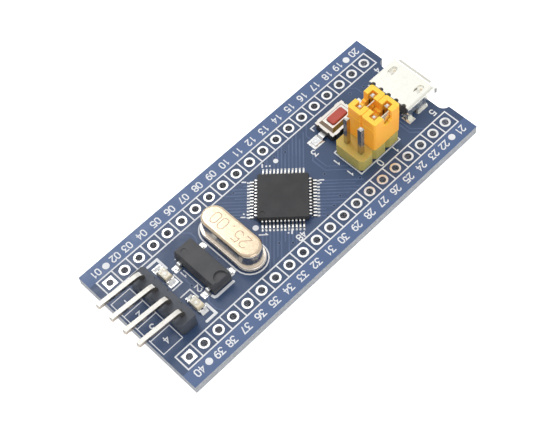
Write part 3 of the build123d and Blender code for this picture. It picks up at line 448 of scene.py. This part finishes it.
# The olive and orange blocks take a separate tone on upward faces as painted light from above; the orange
# caps also carry a faint painted glow.
OLIVE = plastic_look("olive_nylon", (0.60, 0.50, 0.13), (0.52, 0.45, 0.13), 0.42, glow=0.3,
                     top=(0.62, 0.46, 0.11))
ORANGE = plastic_look("orange_nylon", (0.95, 0.40, 0.038), (0.96, 0.46, 0.044), 0.40, glow=0.3, edges=0.012,
                      top=(0.97, 0.67, 0.070), fill=0.16)
RED = plastic_look("red_button", (0.50, 0.075, 0.052), (0.56, 0.095, 0.068), 0.42, grain=14.0)
BASE = plastic_look("switch_base", (0.030, 0.030, 0.032), (0.045, 0.044, 0.044), 0.48)
LED_BOARD = plastic_look("led_laminate", (0.94, 0.91, 0.84), (0.86, 0.82, 0.74), 0.45, grain=10.0)
CERAMIC = plastic_look("capacitor_ceramic", (0.36, 0.24, 0.14), (0.28, 0.18, 0.10), 0.42, grain=10.0)
ALUMINA = plastic_look("alumina", (0.82, 0.82, 0.79), (0.72, 0.72, 0.70), 0.50, grain=12.0)
GLAZE = plastic_look("resistor_glaze", (0.018, 0.018, 0.020), (0.028, 0.028, 0.030), 0.22, grain=8.0)
POWER_LENS = lens_look("power_led_resin", "power_led_base")
USER_LENS = lens_look("user_led_resin", "user_led_base")

NODE_LOOKS = {
    BOARD: ("circuit_board",),
    TIN: ("header_pads", "pin_rings", "bottom_pads"),
    PAD: ("top_pads",),
    SOLDER: ("pin_solder", "part_solder", "usb_solder"),
    CHIP_LEAD: ("main_chip_leads",),
    LEAD: ("main_crystal_wires", "clock_crystal_leads", "power_led_terminals",
           "user_led_terminals", "reset_switch_terminals", "regulator_leads",
           "capacitor_terminals", "resistor_terminals"),
    EPOXY: ("main_chip_body", "regulator_body"),
    CAN: ("main_crystal_can", "main_crystal_base"),
    CRYSTAL_PLASTIC: ("clock_crystal_body",),
    LED_BOARD: ("power_led_base", "user_led_base"),
    POWER_LENS: ("power_led_lens",),
    USER_LENS: ("user_led_lens",),
    BLACK: ("debug_header_block", "usb_tongue"),
    PIN: ("debug_header_pins", "boot_header_pins"),
    OLIVE: ("boot_header_block",),
    ORANGE: ("jumper_cap_a", "jumper_cap_b"),
    BRONZE: ("jumper_contact_a", "jumper_contact_b"),
    BASE: ("reset_switch_base",),
    COVER: ("reset_switch_cover", "reset_switch_dome"),
    RED: ("reset_switch_button",),
    SHELL: ("usb_shell",),
    GOLD: ("usb_contacts",),
    CERAMIC: ("capacitor_bodies",),
    ALUMINA: ("resistor_bodies",),
    GLAZE: ("resistor_coats",),
}


def paint_nodes():
    for material, names in NODE_LOOKS.items():
        for name in names:
            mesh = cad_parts[name].data
            mesh.materials.clear()
            mesh.materials.append(material)


# ---------------------------------------------------------------- flat work on the board's faces

class Film:
    """Thin closed pieces on a flat face: lines, discs and bars in one mesh.

    side is +1 for a face that looks up and -1 for one that looks down.
    """

    def __init__(self, side, thickness, base=None):
        self.side = side
        face = TOP if side > 0 else BOTTOM
        self.base = face if base is None else base
        self.thickness = thickness
        self.points = []
        self.faces = []
        self.count = 0

    def level(self):
        """Each piece stands a hair higher than the last, so crossing pieces never share a plane."""
        self.count += 1
        return self.thickness * (1 + LEVEL_STEP * self.count)

    def plate(self, outline):
        """A closed prism over a counter-clockwise convex outline."""
        start = len(self.points)
        count = len(outline)
        top_z = self.base + self.side * self.level()
        self.points += [(x, y, self.base) for x, y in outline]
        self.points += [(x, y, top_z) for x, y in outline]
        bottom = list(range(start, start + count))
        top = list(range(start + count, start + 2 * count))
        self.faces.append(bottom[::-1])
        self.faces.append(top)
        for index in range(count):
            after = (index + 1) % count
            self.faces.append([bottom[index], bottom[after], top[after], top[index]])

    def disc(self, x, y, radius):
        self.plate(circle(x, y, radius, DISC_SIDES))

    def line(self, path, width, closed=False):
        """A flat line of even width with mitred corners; open ends are rounded."""
        points = [Vector(point) for point in path]
        if closed:
            self.band(points, width)
            return
        half = width / 2
        sides = [mitre(points, index, False) * half for index in range(len(points))]
        for index in range(len(points) - 1):
            after = index + 1
            self.plate([points[index] - sides[index], points[after] - sides[after],
                        points[after] + sides[after], points[index] + sides[index]])
        self.plate([points[0] + turned(sides[0], angle) for angle in END_TURNS])
        self.plate([points[-1] - turned(sides[-1], angle) for angle in END_TURNS])

    def band(self, points, width):
        """A closed loop of even width."""
        half = width / 2
        sides = [mitre(points, index, True) * half for index in range(len(points))]
        for index in range(len(points)):
            after = (index + 1) % len(points)
            self.plate([points[index] - sides[index], points[after] - sides[after],
                        points[after] + sides[after], points[index] + sides[index]])

    def build(self, name, material):
        piece = solid(name, self.points, self.faces, material)
        if self.side < 0:
            piece.data.flip_normals()
        return piece


LEVEL_STEP = 0.0006
DISC_SIDES = 24
END_STEPS = 6
END_TURNS = [math.pi * step / END_STEPS for step in range(END_STEPS + 1)]


def circle(x, y, radius, sides):
    turns = [2 * math.pi * index / sides for index in range(sides)]
    return [(x + radius * math.cos(turn), y + radius * math.sin(turn)) for turn in turns]


def turned(vector, angle):
    return Matrix.Rotation(angle, 2) @ vector


def mitre(points, index, closed):
    """Left-hand side of a corner, lengthened so that the line keeps its width."""
    last = len(points) - 1
    before = points[index - 1] if closed or index else None
    after = points[(index + 1) % len(points)] if closed or index < last else None
    here = points[index]
    first = (here - before).normalized() if before is not None else (after - here).normalized()
    second = (after - here).normalized() if after is not None else first
    normal = Vector((-first.y, first.x))
    joined = (normal + Vector((-second.y, second.x))).normalized()
    return joined / max(joined.dot(normal), 0.5)


def solid(name, points, faces, material):
    """A mesh in board millimetres that rides on the board."""
    mesh = bpy.data.meshes.new(name)
    mesh.from_pydata([[value * MM for value in point] for point in points], [], faces)
    mesh.materials.append(material)
    mesh.update()
    piece = bpy.data.objects.new(name, mesh)
    bpy.context.scene.collection.objects.link(piece)
    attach(piece, BOARD_BODY)
    return piece


# Strokes of each numeral on a grid 4 wide and 6 high.
GLYPHS = {
    "0": [(1, 0), (3, 0), (4, 1.2), (4, 4.8), (3, 6), (1, 6), (0, 4.8), (0, 1.2), (1, 0)],
    "1": [(0.8, 4.8), (2, 6), (2, 0)],
    "2": [(0, 5), (1, 6), (3, 6), (4, 5), (4, 4), (0, 0), (4, 0)],
    "3": [(0, 6), (4, 6), (2, 3.6), (3, 3.6), (4, 2.6), (4, 1), (3, 0), (1, 0), (0, 1)],
    "4": [(3, 0), (3, 6), (0, 2), (4, 2)],
    "5": [(4, 6), (0.4, 6), (0.2, 3.4), (1, 3.8), (3, 3.8), (4, 2.8), (4, 1), (3, 0), (1, 0), (0, 1)],
    "6": [(3.6, 5.6), (2.6, 6), (1.2, 5.4), (0, 3.6), (0, 1), (1, 0), (3, 0), (4, 1), (4, 2.6),
          (3, 3.6), (1, 3.6), (0, 2.6)],
    "7": [(0, 6), (4, 6), (1.4, 0)],
    "8": [(1, 3.2), (0, 4.1), (0, 5.1), (1, 6), (3, 6), (4, 5.1), (4, 4.1), (3, 3.2), (1, 3.2),
          (0, 2.3), (0, 0.9), (1, 0), (3, 0), (4, 0.9), (4, 2.3), (3, 3.2)],
    "9": [(0.4, 0.4), (1.4, 0), (2.8, 0.6), (4, 2.4), (4, 5), (3, 6), (1, 6), (0, 5), (0, 3.4),
          (1, 2.4), (3, 2.4), (4, 3.4)],
    ".": [(2, 0), (2, 0.6)],
}
GLYPH_UNITS = 6
GLYPH_WIDTH = 4
GLYPH_STEP = 5.6
GLYPH_NARROW = 0.86


def write(film, text, x, y, height, turn=180, stroke=0.17):
    """Stroke numerals centred on (x, y); turn is in degrees, and 180 reads towards -X."""
    scale = height / GLYPH_UNITS
    middle = ((len(text) - 1) * GLYPH_STEP + GLYPH_WIDTH) / 2
    across = turned(Vector((scale * GLYPH_NARROW * film.side, 0)), math.radians(turn))
    up = turned(Vector((0, scale)), math.radians(turn))
    centre = Vector((x, y))
    for place, letter in enumerate(text):
        start = place * GLYPH_STEP - middle
        film.line([centre + across * (start + px) + up * (py - GLYPH_UNITS / 2)
                   for px, py in GLYPHS[letter]], stroke)


def rectangle(x0, y0, x1, y1):
    return [(x0, y0), (x1, y0), (x1, y1), (x0, y1)]


STADIUM_STEPS = 12


def stadium(x, y, half_width, half_length):
    """Outline with straight long sides along Y and round ends."""
    straight = half_length - half_width
    points = []
    for sign, begin in ((1, 0), (-1, math.pi)):
        for step in range(STADIUM_STEPS + 1):
            angle = begin + math.pi * step / STADIUM_STEPS
            points.append((x + half_width * math.cos(angle),
                           y + sign * straight + half_width * math.sin(angle)))
    return points


# ---------------------------------------------------------------- printed ink

INK_HEIGHT = 0.026
ROW_LINE = 0.19
THIN_LINE = 0.12
BOLD_LINE = 0.38
ROW_LINE_IN = 6.38
ROW_LINE_OUT = 8.86
LABEL_Y = 10.0
LABEL_HEIGHT = 0.95
LABEL_SHIFT = 0.42
DOT_R = 0.5
DOT_Y = LABEL_Y - 0.1


def row_positions():
    return [-ROW_X + PITCH * index for index in range(ROW_COUNT)]


def ink_rows(film):
    """Cell boxes round each hole, a number beside each one and four filled dots."""
    for side in (-1, 1):
        low, high = sorted((side * ROW_LINE_IN, side * ROW_LINE_OUT))
        film.line(rectangle(-CELL_EDGE_X, low, CELL_EDGE_X, high), ROW_LINE, True)
        for x in row_positions()[:-1]:
            film.line([(x + PITCH / 2, low), (x + PITCH / 2, high)], ROW_LINE)
        for x in (-ROW_X + PITCH / 2, ROW_X - PITCH / 2):
            film.disc(x, side * DOT_Y, DOT_R)
        for index, x in enumerate(row_positions()):
            number = index + 1 if side > 0 else 2 * ROW_COUNT - index
            shift = LABEL_SHIFT if index in (1, ROW_COUNT - 1) else 0
            shift -= LABEL_SHIFT if index in (0, ROW_COUNT - 2) else 0
            write(film, f"{number:02d}", x + shift, side * LABEL_Y, LABEL_HEIGHT)


DEBUG_PINS = 4
DEBUG_BOX_GAP = 0.25
DEBUG_BOX_END_X = -26.15


def ink_debug_header(film):
    """A numbered cell beside each bent pin."""
    low, high = box_mm("debug_header_block")
    inner, outer = low.x - DEBUG_BOX_GAP, DEBUG_BOX_END_X
    cell = (high.y - low.y) / DEBUG_PINS
    film.line([(inner, high.y), (outer, high.y), (outer, low.y), (inner, low.y)], THIN_LINE)
    film.line([(inner, high.y), (inner, low.y)], THIN_LINE)
    for step in range(1, DEBUG_PINS):
        film.line([(outer, low.y + cell * step), (inner, low.y + cell * step)], THIN_LINE)
    for step in range(DEBUG_PINS):
        write(film, str(step + 1), (inner + outer) / 2, high.y - cell * (step + 0.5), LABEL_HEIGHT)


# Offsets from an LED's centre: the bracket's two sides in X, its bold and fine ends in Y, where each
# stops beside the part, and the mark's place past the far side.
LED_NEAR = 0.72
LED_FAR = 0.9
LED_BOLD_END = 2.62
LED_BOLD_STOP = 0.75
LED_FINE_END = 2.3
LED_FINE_STOP = 0.7
LED_MARK = (0.85, 1.6)


def ink_leds(film):
    """Brackets round the two LEDs with a bold bar at the marked end."""
    for side, name, mark in ((1, "power_led_base", "1"), (-1, "user_led_base", "2")):
        led = centre_of(name)
        near, far = led.x - LED_NEAR, led.x + LED_FAR
        bold, bold_stop = (led.y + side * reach for reach in (LED_BOLD_END, LED_BOLD_STOP))
        fine, fine_stop = (led.y - side * reach for reach in (LED_FINE_END, LED_FINE_STOP))
        film.line([(near, bold), (far, bold), (far, bold_stop)], BOLD_LINE)
        film.line([(far, fine_stop), (far, fine), (near, fine)], ROW_LINE)
        write(film, mark, far + LED_MARK[0], led.y - side * LED_MARK[1], LABEL_HEIGHT)


CAN_LOOP_GAP = (0.3, 0.2)
CLOCK_GAP_WEST = 0.27
CLOCK_GAP_EAST = 0.25
CLOCK_GAP_SOUTH = 0.25
CLOCK_GAP_NORTH = 0.15
CLOCK_WEST_Y = (1.9, -1.8)
CLOCK_EAST_Y = (1.8, -1.7)
CLOCK_CORNER = 0.3
CLOCK_BEND = ((0, 0.5), (0.1, 0.12), (0.4, 0))
CLOCK_HOOK = ((-0.05, -2.15), (0.5, -2.15), (0.5, -3.3), (0, -3.3))


def ink_crystals(film):
    """A loop round the main crystal and a broken outline at the clock crystal."""
    low, high = box_mm("main_crystal_can")
    middle, half = (low + high) / 2, (high - low) / 2
    gap_x, gap_y = CAN_LOOP_GAP
    film.line(stadium(middle.x, middle.y, half.x + gap_x, half.y + gap_y), ROW_LINE, True)
    low, high = box_mm("clock_crystal_body")
    west, east = low.x - CLOCK_GAP_WEST, high.x + CLOCK_GAP_EAST
    south, north = low.y - CLOCK_GAP_SOUTH, high.y + CLOCK_GAP_NORTH
    film.line([(west, y) for y in CLOCK_WEST_Y], THIN_LINE)
    film.line([(east, y) for y in CLOCK_EAST_Y], THIN_LINE)
    bend = [(west + x, south + y) for x, y in CLOCK_BEND]
    film.line([*bend, (east - CLOCK_CORNER, south)], BOLD_LINE)
    film.line([(west + CLOCK_CORNER, north), (east - CLOCK_CORNER, north)], THIN_LINE)
    film.line([(east + x, y) for x, y in CLOCK_HOOK], ROW_LINE)


# Each number's text, place, height and turn.
CHIP_NUMBERS = (("1", -5.5, -1.95, 1.1, 225), ("48", -2.2, -5.75, 0.9, 180))
CHIP_DOTS = ((-5.46, -0.45, 0.42), (3.83, 5.1, 0.36))
CHIP_TICKS = (
    ((2.18, 6.07), (1.85, 5.72)),
    ((-1.69, 6.02), (-1.36, 5.66)),
    ((-5.64, 2.14), (-5.29, 1.76)),
    ((5.71, -1.47), (6.04, -1.83)),
    ((-2.31, -4.12), (-2.78, -4.58)),
)
CHIP_TICK_LINE = 0.2
CHIP_POINTS = ((2.35, 5.44), (2.7, 5.12), (-5.04, 2.24), (5.45, -1.86), (-3.02, -4.16))
CHIP_POINT_R = 0.13


def ink_chip(film):
    """Two dots, the first and last pin's numbers, and counting marks round the microcontroller."""
    for x, y, radius in CHIP_DOTS:
        film.disc(x, y, radius)
    for number in CHIP_NUMBERS:
        write(film, *number)
    for ends in CHIP_TICKS:
        film.line(ends, CHIP_TICK_LINE)
    for x, y in CHIP_POINTS:
        film.disc(x, y, CHIP_POINT_R)


BOOT_HOOK = 0.4
BOOT_FIRST_GAP = 0.95
BOOT_FIRST_Y = (-1.2, -3.7)
BOOT_STATE_X = (("0", 13.2), ("1", 16.2))
BOOT_STATE_Y = -5.6


def ink_boot(film):
    """Two sides of a box at the boot block, a 1 at each row's first pin and 0 and 1 along the side."""
    low, high = box_mm("boot_header_block")
    film.line([(low.x, high.y), (low.x, low.y), (high.x, low.y), (high.x, low.y + BOOT_HOOK)], ROW_LINE)
    film.line([(low.x, high.y), (low.x + BOOT_HOOK, high.y)], ROW_LINE)
    for y in BOOT_FIRST_Y:
        write(film, "1", low.x - BOOT_FIRST_GAP, y, LABEL_HEIGHT)
    for mark, x in BOOT_STATE_X:
        write(film, mark, x, BOOT_STATE_Y, LABEL_HEIGHT)


SWITCH_GAP_X = 0.45
SWITCH_GAP_SOUTH = 0.35
SWITCH_GAP_NORTH = 0.3
SWITCH_ARM = (0.7, 0.6)
SWITCH_MARK = (8.35, 2.1)


def ink_switch(film):
    """Brackets at three corners of the reset switch, and its number."""
    low, high = box_mm("reset_switch_cover")
    west, east = low.x - SWITCH_GAP_X, high.x + SWITCH_GAP_X
    south, north = low.y - SWITCH_GAP_SOUTH, high.y + SWITCH_GAP_NORTH
    for x, y, inward_x, inward_y in ((west, north, 1, -1), (east, north, -1, -1), (east, south, -1, 1)):
        film.line([(x, y + inward_y * SWITCH_ARM[1]), (x, y), (x + inward_x * SWITCH_ARM[0], y)], ROW_LINE)
    write(film, "3", *SWITCH_MARK, LABEL_HEIGHT)


SOCKET_MARKS = (("4", 24.5, 5.35), ("5", 24.2, -5.3))


def ink_socket(film):
    for mark, x, y in SOCKET_MARKS:
        write(film, mark, x, y, LABEL_HEIGHT)


def ink_top():
    film = Film(1, INK_HEIGHT)
    ink_rows(film)
    ink_debug_header(film)
    ink_leds(film)
    ink_crystals(film)
    ink_chip(film)
    ink_boot(film)
    ink_switch(film)
    ink_socket(film)
    return film.build("ink_top", INK)


UNDER_CHIP_XS = ((1, (-17.5, -12.8, -5.2, -2.0, 1.2, 4.4, 7.6, 10.8)),
                 (-1, (-17.5, -14.3, -5.2, -2.0, 1.2, 4.4, 7.6)))
UNDER_CHIP_Y = 4.9
UNDER_CHIP_HALF = (1.35, 0.62)
REGULATOR_GAP = (0.75, 0.3)
REGULATOR_DOT = (-0.4, 0.75, 0.2)
WIRES_LOOP = (1.2, 3.8)
UNDER_MARKS = (("1", -21.4, 5.4), ("2", 12.75, 1.2), ("3", 15.3, 1.2))
UNDER_MARK_HEIGHT = 0.9


def ink_bottom():
    """The same cell boxes and numbers, with outlines round the small parts."""
    film = Film(-1, INK_HEIGHT)
    ink_rows(film)
    half_x, half_y = UNDER_CHIP_HALF
    for side, places in UNDER_CHIP_XS:
        y = side * UNDER_CHIP_Y
        for x in places:
            film.line(rectangle(x - half_x, y - half_y, x + half_x, y + half_y), THIN_LINE, True)
    low, high = box_mm("regulator_body")
    gap_x, gap_y = REGULATOR_GAP
    film.line(rectangle(low.x - gap_x, low.y - gap_y, high.x + gap_x, high.y + gap_y), THIN_LINE, True)
    dot_x, dot_y, dot_r = REGULATOR_DOT
    film.disc(low.x + dot_x, high.y + dot_y, dot_r)
    film.line(stadium(centre_of("main_crystal_wires").x, 0, *WIRES_LOOP), THIN_LINE, True)
    for mark, x, y in UNDER_MARKS:
        write(film, mark, x, y, UNDER_MARK_HEIGHT)
    return film.build("ink_bottom", INK)


# ---------------------------------------------------------------- copper tracks under the mask

TRACK_HEIGHT = 0.014
TRACK_W = 0.2
LEAD_STEP = 0.5
LEADS = 12
LEAD_TOE = 4.5
TRACK_END_Y = 6.1
TRACK_END_STEP = 0.45
HOLE_APPROACH = 0.9
TRACK_END_CYCLE = 4
SHORTEST_TRACK = 0.6
VIA_R = 0.27
VIA_EVERY = 3
PIT_R = VIA_R * 0.5
PIT_HEIGHT = TRACK_HEIGHT * 1.6
TRACKED_HOLES_X = (3, 9.5)
ROOT_HALF = math.sqrt(0.5)


def chip_tracks(film, vias, side_x, side_y, hole_xs):
    """Tracks straight out from one slanted side of the chip; some bend to a row hole."""
    chip_x = centre_of("main_chip_body").x
    bends = {}
    for row_x in hole_xs:
        hole_x = row_x - side_x * chip_x
        along = (hole_x - TRACK_END_Y) * ROOT_HALF
        bends[int((LEADS - 1) / 2 + along / LEAD_STEP)] = hole_x
    for index in range(LEADS):
        along = (index - (LEADS - 1) / 2) * LEAD_STEP
        x, y = (LEAD_TOE + along) * ROOT_HALF, (LEAD_TOE - along) * ROOT_HALF
        if index in bends:
            run = bends[index] - x
            ends = [(x + run, y + run), (x + run, ROW_Y - HOLE_APPROACH)]
        else:
            run = max(SHORTEST_TRACK, TRACK_END_Y - TRACK_END_STEP * (index * 3 % TRACK_END_CYCLE) - y)
            ends = [(x + run, y + run)]
            if index % VIA_EVERY == 0:
                vias.append((chip_x + side_x * (x + run), side_y * (y + run)))
        film.line([(chip_x + side_x * px, side_y * py) for px, py in [(x, y), *ends]], TRACK_W)


# Tracks and vias placed for looks, with no circuit behind them.
PLAIN_TRACKS = (
    ((-19.2, 2.6), (-19.8, 2.0), (-19.8, -2.2), (-19.2, -2.8)),
    ((-16.6, 2.0), (-17.1, 1.5), (-17.1, -0.4)),
    ((-12.3, 3.6), (-11.9, 4.4), (-11.9, 5.4), (-12.8, 6.3), (-13.97, 6.6)),
    ((-16.6, -3.2), (-17.2, -3.8), (-17.2, -5.2), (-16.51, -6.6)),
    ((8.9, 2.5), (7.9, 1.5), (7.9, -0.6), (9.9, -2.6)),
    ((8.9, 3.0), (7.3, 1.4), (7.3, -0.9), (9.9, -3.5)),
    ((9.6, 4.1), (9.6, 4.9), (10.6, 5.9), (11.43, 6.6)),
    ((19.4, 3.2), (20.2, 4.0), (20.2, 5.4), (19.05, 6.6)),
    ((18.6, -1.4), (19.6, -2.4), (19.6, -5.2), (21.0, -6.6)),
    ((18.6, -0.9), (20.1, -2.4), (20.1, -4.8), (21.59, -6.4)),
    ((-23.6, 5.9), (-21.4, 5.9), (-20.5, 5.0), (-20.0, 5.0)),
)
PLAIN_VIAS = ((21.09, 4.82), (-4.95, -4.36), (6.82, -1.26), (-17.1, -0.5), (-11.8, -0.1),
              (9.6, -5.2), (-19.9, 0.1), (18.9, 5.4))


def tracks_top():
    film = Film(1, TRACK_HEIGHT)
    vias = list(PLAIN_VIAS)
    first_x, last_x = TRACKED_HOLES_X
    holes = [x for x in row_positions() if first_x < x < last_x]
    for side_x in (-1, 1):
        for side_y in (-1, 1):
            chip_tracks(film, vias, side_x, side_y, holes)
    for path in PLAIN_TRACKS:
        film.line(path, TRACK_W)
    for x, y in vias:
        film.disc(x, y, VIA_R)
    pits = Film(1, PIT_HEIGHT)
    for x, y in vias:
        pits.disc(x, y, PIT_R)
    pits.build("vias_top", VIA)
    return film.build("tracks_top", TRACK)


COMB_DEEPEST_Y = 2.6
COMB_STEP = 0.5
COMB_CYCLE = 7
COMB_STRIDE = {1: 3, -1: 5}
COMB_LEAN = 0.5
LONG_TRACKS_Y = (-1.5, -1.1, 1.3)
LONG_TRACK = ((-20.0, 0), (-11.0, 0), (-10.4, 0.6), (4.0, 0.6), (4.6, 0), (16.8, 0))


def tracks_bottom():
    """A comb of tracks in from the rows, each ending at a via, and three long tracks between them."""
    film = Film(-1, TRACK_HEIGHT)
    pits = Film(-1, PIT_HEIGHT)
    for index, x in enumerate(row_positions()):
        for side in (-1, 1):
            depth = COMB_DEEPEST_Y + COMB_STEP * (index * COMB_STRIDE[side] % COMB_CYCLE)
            lean = COMB_LEAN if (index + side) % 2 else -COMB_LEAN
            film.line([(x, side * (ROW_Y - HOLE_APPROACH)), (x, side * TRACK_END_Y),
                       (x + lean, side * (TRACK_END_Y - COMB_LEAN)), (x + lean, side * depth)], TRACK_W)
            film.disc(x + lean, side * depth, VIA_R)
            pits.disc(x + lean, side * depth, PIT_R)
    for y in LONG_TRACKS_Y:
        film.line([(x, y + rise) for x, rise in LONG_TRACK], TRACK_W)
    pits.build("vias_bottom", VIA)
    return film.build("tracks_bottom", TRACK)


# ---------------------------------------------------------------- metal details

PAD_HEIGHT = 0.035
SLEEVE_WALL = 0.03
SLEEVE_SIDES = 28


def hole_sleeves():
    """Plating inside each row hole, flush with the pads."""
    points, faces = [], []
    low, high = BOTTOM - PAD_HEIGHT, TOP + PAD_HEIGHT
    bore_r, chamfer = HOLE_R - SLEEVE_WALL, SLEEVE_WALL / 2
    profile = ((HOLE_R, low), (HOLE_R, high), (bore_r, high - chamfer), (bore_r, low + chamfer))
    for side in (-1, 1):
        for x in row_positions():
            start = len(points)
            for radius, z in profile:
                points += [(px, py, z) for px, py in circle(x, side * ROW_Y, radius, SLEEVE_SIDES)]
            for ring in range(len(profile)):
                here = start + ring * SLEEVE_SIDES
                there = start + (ring + 1) % len(profile) * SLEEVE_SIDES
                for step in range(SLEEVE_SIDES):
                    after = (step + 1) % SLEEVE_SIDES
                    faces.append([here + step, here + after, there + after, there + step])
    return solid("hole_sleeves", points, faces, TIN)


NUMBER = "25.00"
NUMBER_THICKNESS = 0.004
NUMBER_SUNK = 0.001
NUMBER_Y = 0.1
NUMBER_HEIGHT = 1.7
NUMBER_STROKE = 0.09


def engraved_number():
    """A number on the main crystal's lid, read along the board's width."""
    low, high = box_mm("main_crystal_can")
    film = Film(1, NUMBER_THICKNESS, base=high.z - NUMBER_SUNK)
    write(film, NUMBER, (low.x + high.x) / 2, NUMBER_Y, NUMBER_HEIGHT, turn=90, stroke=NUMBER_STROKE)
    return film.build("crystal_number", ENGRAVED)


# ---------------------------------------------------------------- stage, light and camera

CAMERA_AT = Vector((-53.916, -66.200, 138.644))
CAMERA_TARGET = Vector((-2.465, -0.911, 0.0))
CAMERA_ROLL = -7.783
LENS = 79.04
SENSOR = 36
CLIP_METRES = (0.005, 10)


def camera():
    """A long lens above the corner by the debug header, rolled by CAMERA_ROLL degrees."""
    data = bpy.data.cameras.new("view")
    data.lens = LENS
    data.sensor_width = SENSOR
    data.clip_start, data.clip_end = CLIP_METRES
    eye = bpy.data.objects.new("view", data)
    aim = (CAMERA_TARGET - CAMERA_AT).to_track_quat("-Z", "Y").to_matrix().to_4x4()
    roll = Matrix.Rotation(math.radians(CAMERA_ROLL), 4, "Z")
    eye.matrix_world = Matrix.Translation(CAMERA_AT * MM) @ aim @ roll
    bpy.context.scene.collection.objects.link(eye)
    bpy.context.scene.camera = eye


# The floor's reach is in metres; the glow fades in over a band just inside the board's outline.
FLOOR_REACH = 1.5
FLOOR_TONES = ((0.95, 0.95, 0.95), (0.98, 0.98, 0.98))
FLOOR_GLOW = 0.5
BACKDROP_GLOW = 0.85
GLOW_FROM = -0.75
GLOW_TO = -0.5


def floor():
    """Pale paper, lit from within where the board leaves it clear, and more so as the camera sees it."""
    low = CAD_BOX[0][2]
    mesh = bpy.data.meshes.new("floor")
    corners = rectangle(-FLOOR_REACH, -FLOOR_REACH, FLOOR_REACH, FLOOR_REACH)
    mesh.from_pydata([(x, y, low) for x, y in corners], [], [(0, 1, 2, 3)])
    look = Look("floor_paper")
    out_x, out_y = (look.band(look.math("ABSOLUTE", look.axis(look.mm, letter)),
                              reach + GLOW_FROM, reach + GLOW_TO)
                    for letter, reach in (("X", BOARD_HIGH.x), ("Y", BOARD_HIGH.y)))
    clear = look.math("MAXIMUM", out_x, out_y)
    seen = look.node("ShaderNodeLightPath").outputs["Is Camera Ray"]
    glow = look.band(seen, 0.0, 1.0, FLOOR_GLOW, BACKDROP_GLOW)
    look.set(base_color=look.mix(look.noise(0.02), *FLOOR_TONES),
             roughness=0.9, emission_color=(1.0, 1.0, 1.0),
             emission_strength=look.math("MULTIPLY", clear, glow))
    mesh.materials.append(look.done())
    sheet = bpy.data.objects.new("floor", mesh)
    bpy.context.scene.collection.objects.link(sheet)


# Name, place and size in metres, and power in watts.
LAMPS = (
    ("key", (0.09, 0.42, 0.62), (0.22, 0.22), 0.8),
    ("front", (-0.10, -0.48, 0.36), (0.40, 0.30), 0.5),
)


def panel(name, at, size, power):
    """A soft rectangular light that faces the board."""
    data = bpy.data.lights.new(name, "AREA")
    data.shape = "RECTANGLE"
    data.size, data.size_y = size
    data.energy = power
    lamp = bpy.data.objects.new(name, data)
    lamp.location = at
    lamp.rotation_euler = (-Vector(at)).to_track_quat("-Z", "Y").to_euler()
    bpy.context.scene.collection.objects.link(lamp)


SKY_AXIS = (0.42, 0.38, 0.82)
SKY_RANGE = (-0.2, 0.95)
SKY_LEVELS = (0.50, 0.94)


def sky():
    """Studio dome, bright above and behind the board, dim towards the camera; itself seen white."""
    world = bpy.data.worlds.new("studio")
    world.use_nodes = True
    nodes, links = world.node_tree.nodes, world.node_tree.links
    background = nodes["Background"]
    ramp = nodes.new("ShaderNodeMapRange")
    along = nodes.new("ShaderNodeVectorMath")
    along.operation = "DOT_PRODUCT"
    along.inputs[1].default_value = SKY_AXIS
    links.new(nodes.new("ShaderNodeTexCoord").outputs["Generated"], along.inputs[0])
    links.new(along.outputs["Value"], ramp.inputs["Value"])
    ramp.inputs["From Min"].default_value, ramp.inputs["From Max"].default_value = SKY_RANGE
    ramp.inputs["To Min"].default_value, ramp.inputs["To Max"].default_value = SKY_LEVELS
    brightest = nodes.new("ShaderNodeMath")
    brightest.operation = "MAXIMUM"
    links.new(ramp.outputs["Result"], brightest.inputs[0])
    links.new(nodes.new("ShaderNodeLightPath").outputs["Is Camera Ray"], brightest.inputs[1])
    links.new(brightest.outputs["Value"], background.inputs["Strength"])
    background.inputs["Color"].default_value = (1, 1, 1, 1)
    bpy.context.scene.world = world


paint_nodes()
ink_top()
ink_bottom()
tracks_top()
tracks_bottom()
hole_sleeves()
engraved_number()
camera()
floor()
sky()
for lamp in LAMPS:
    panel(*lamp)
bpy.context.scene.view_settings.view_transform = "Standard"
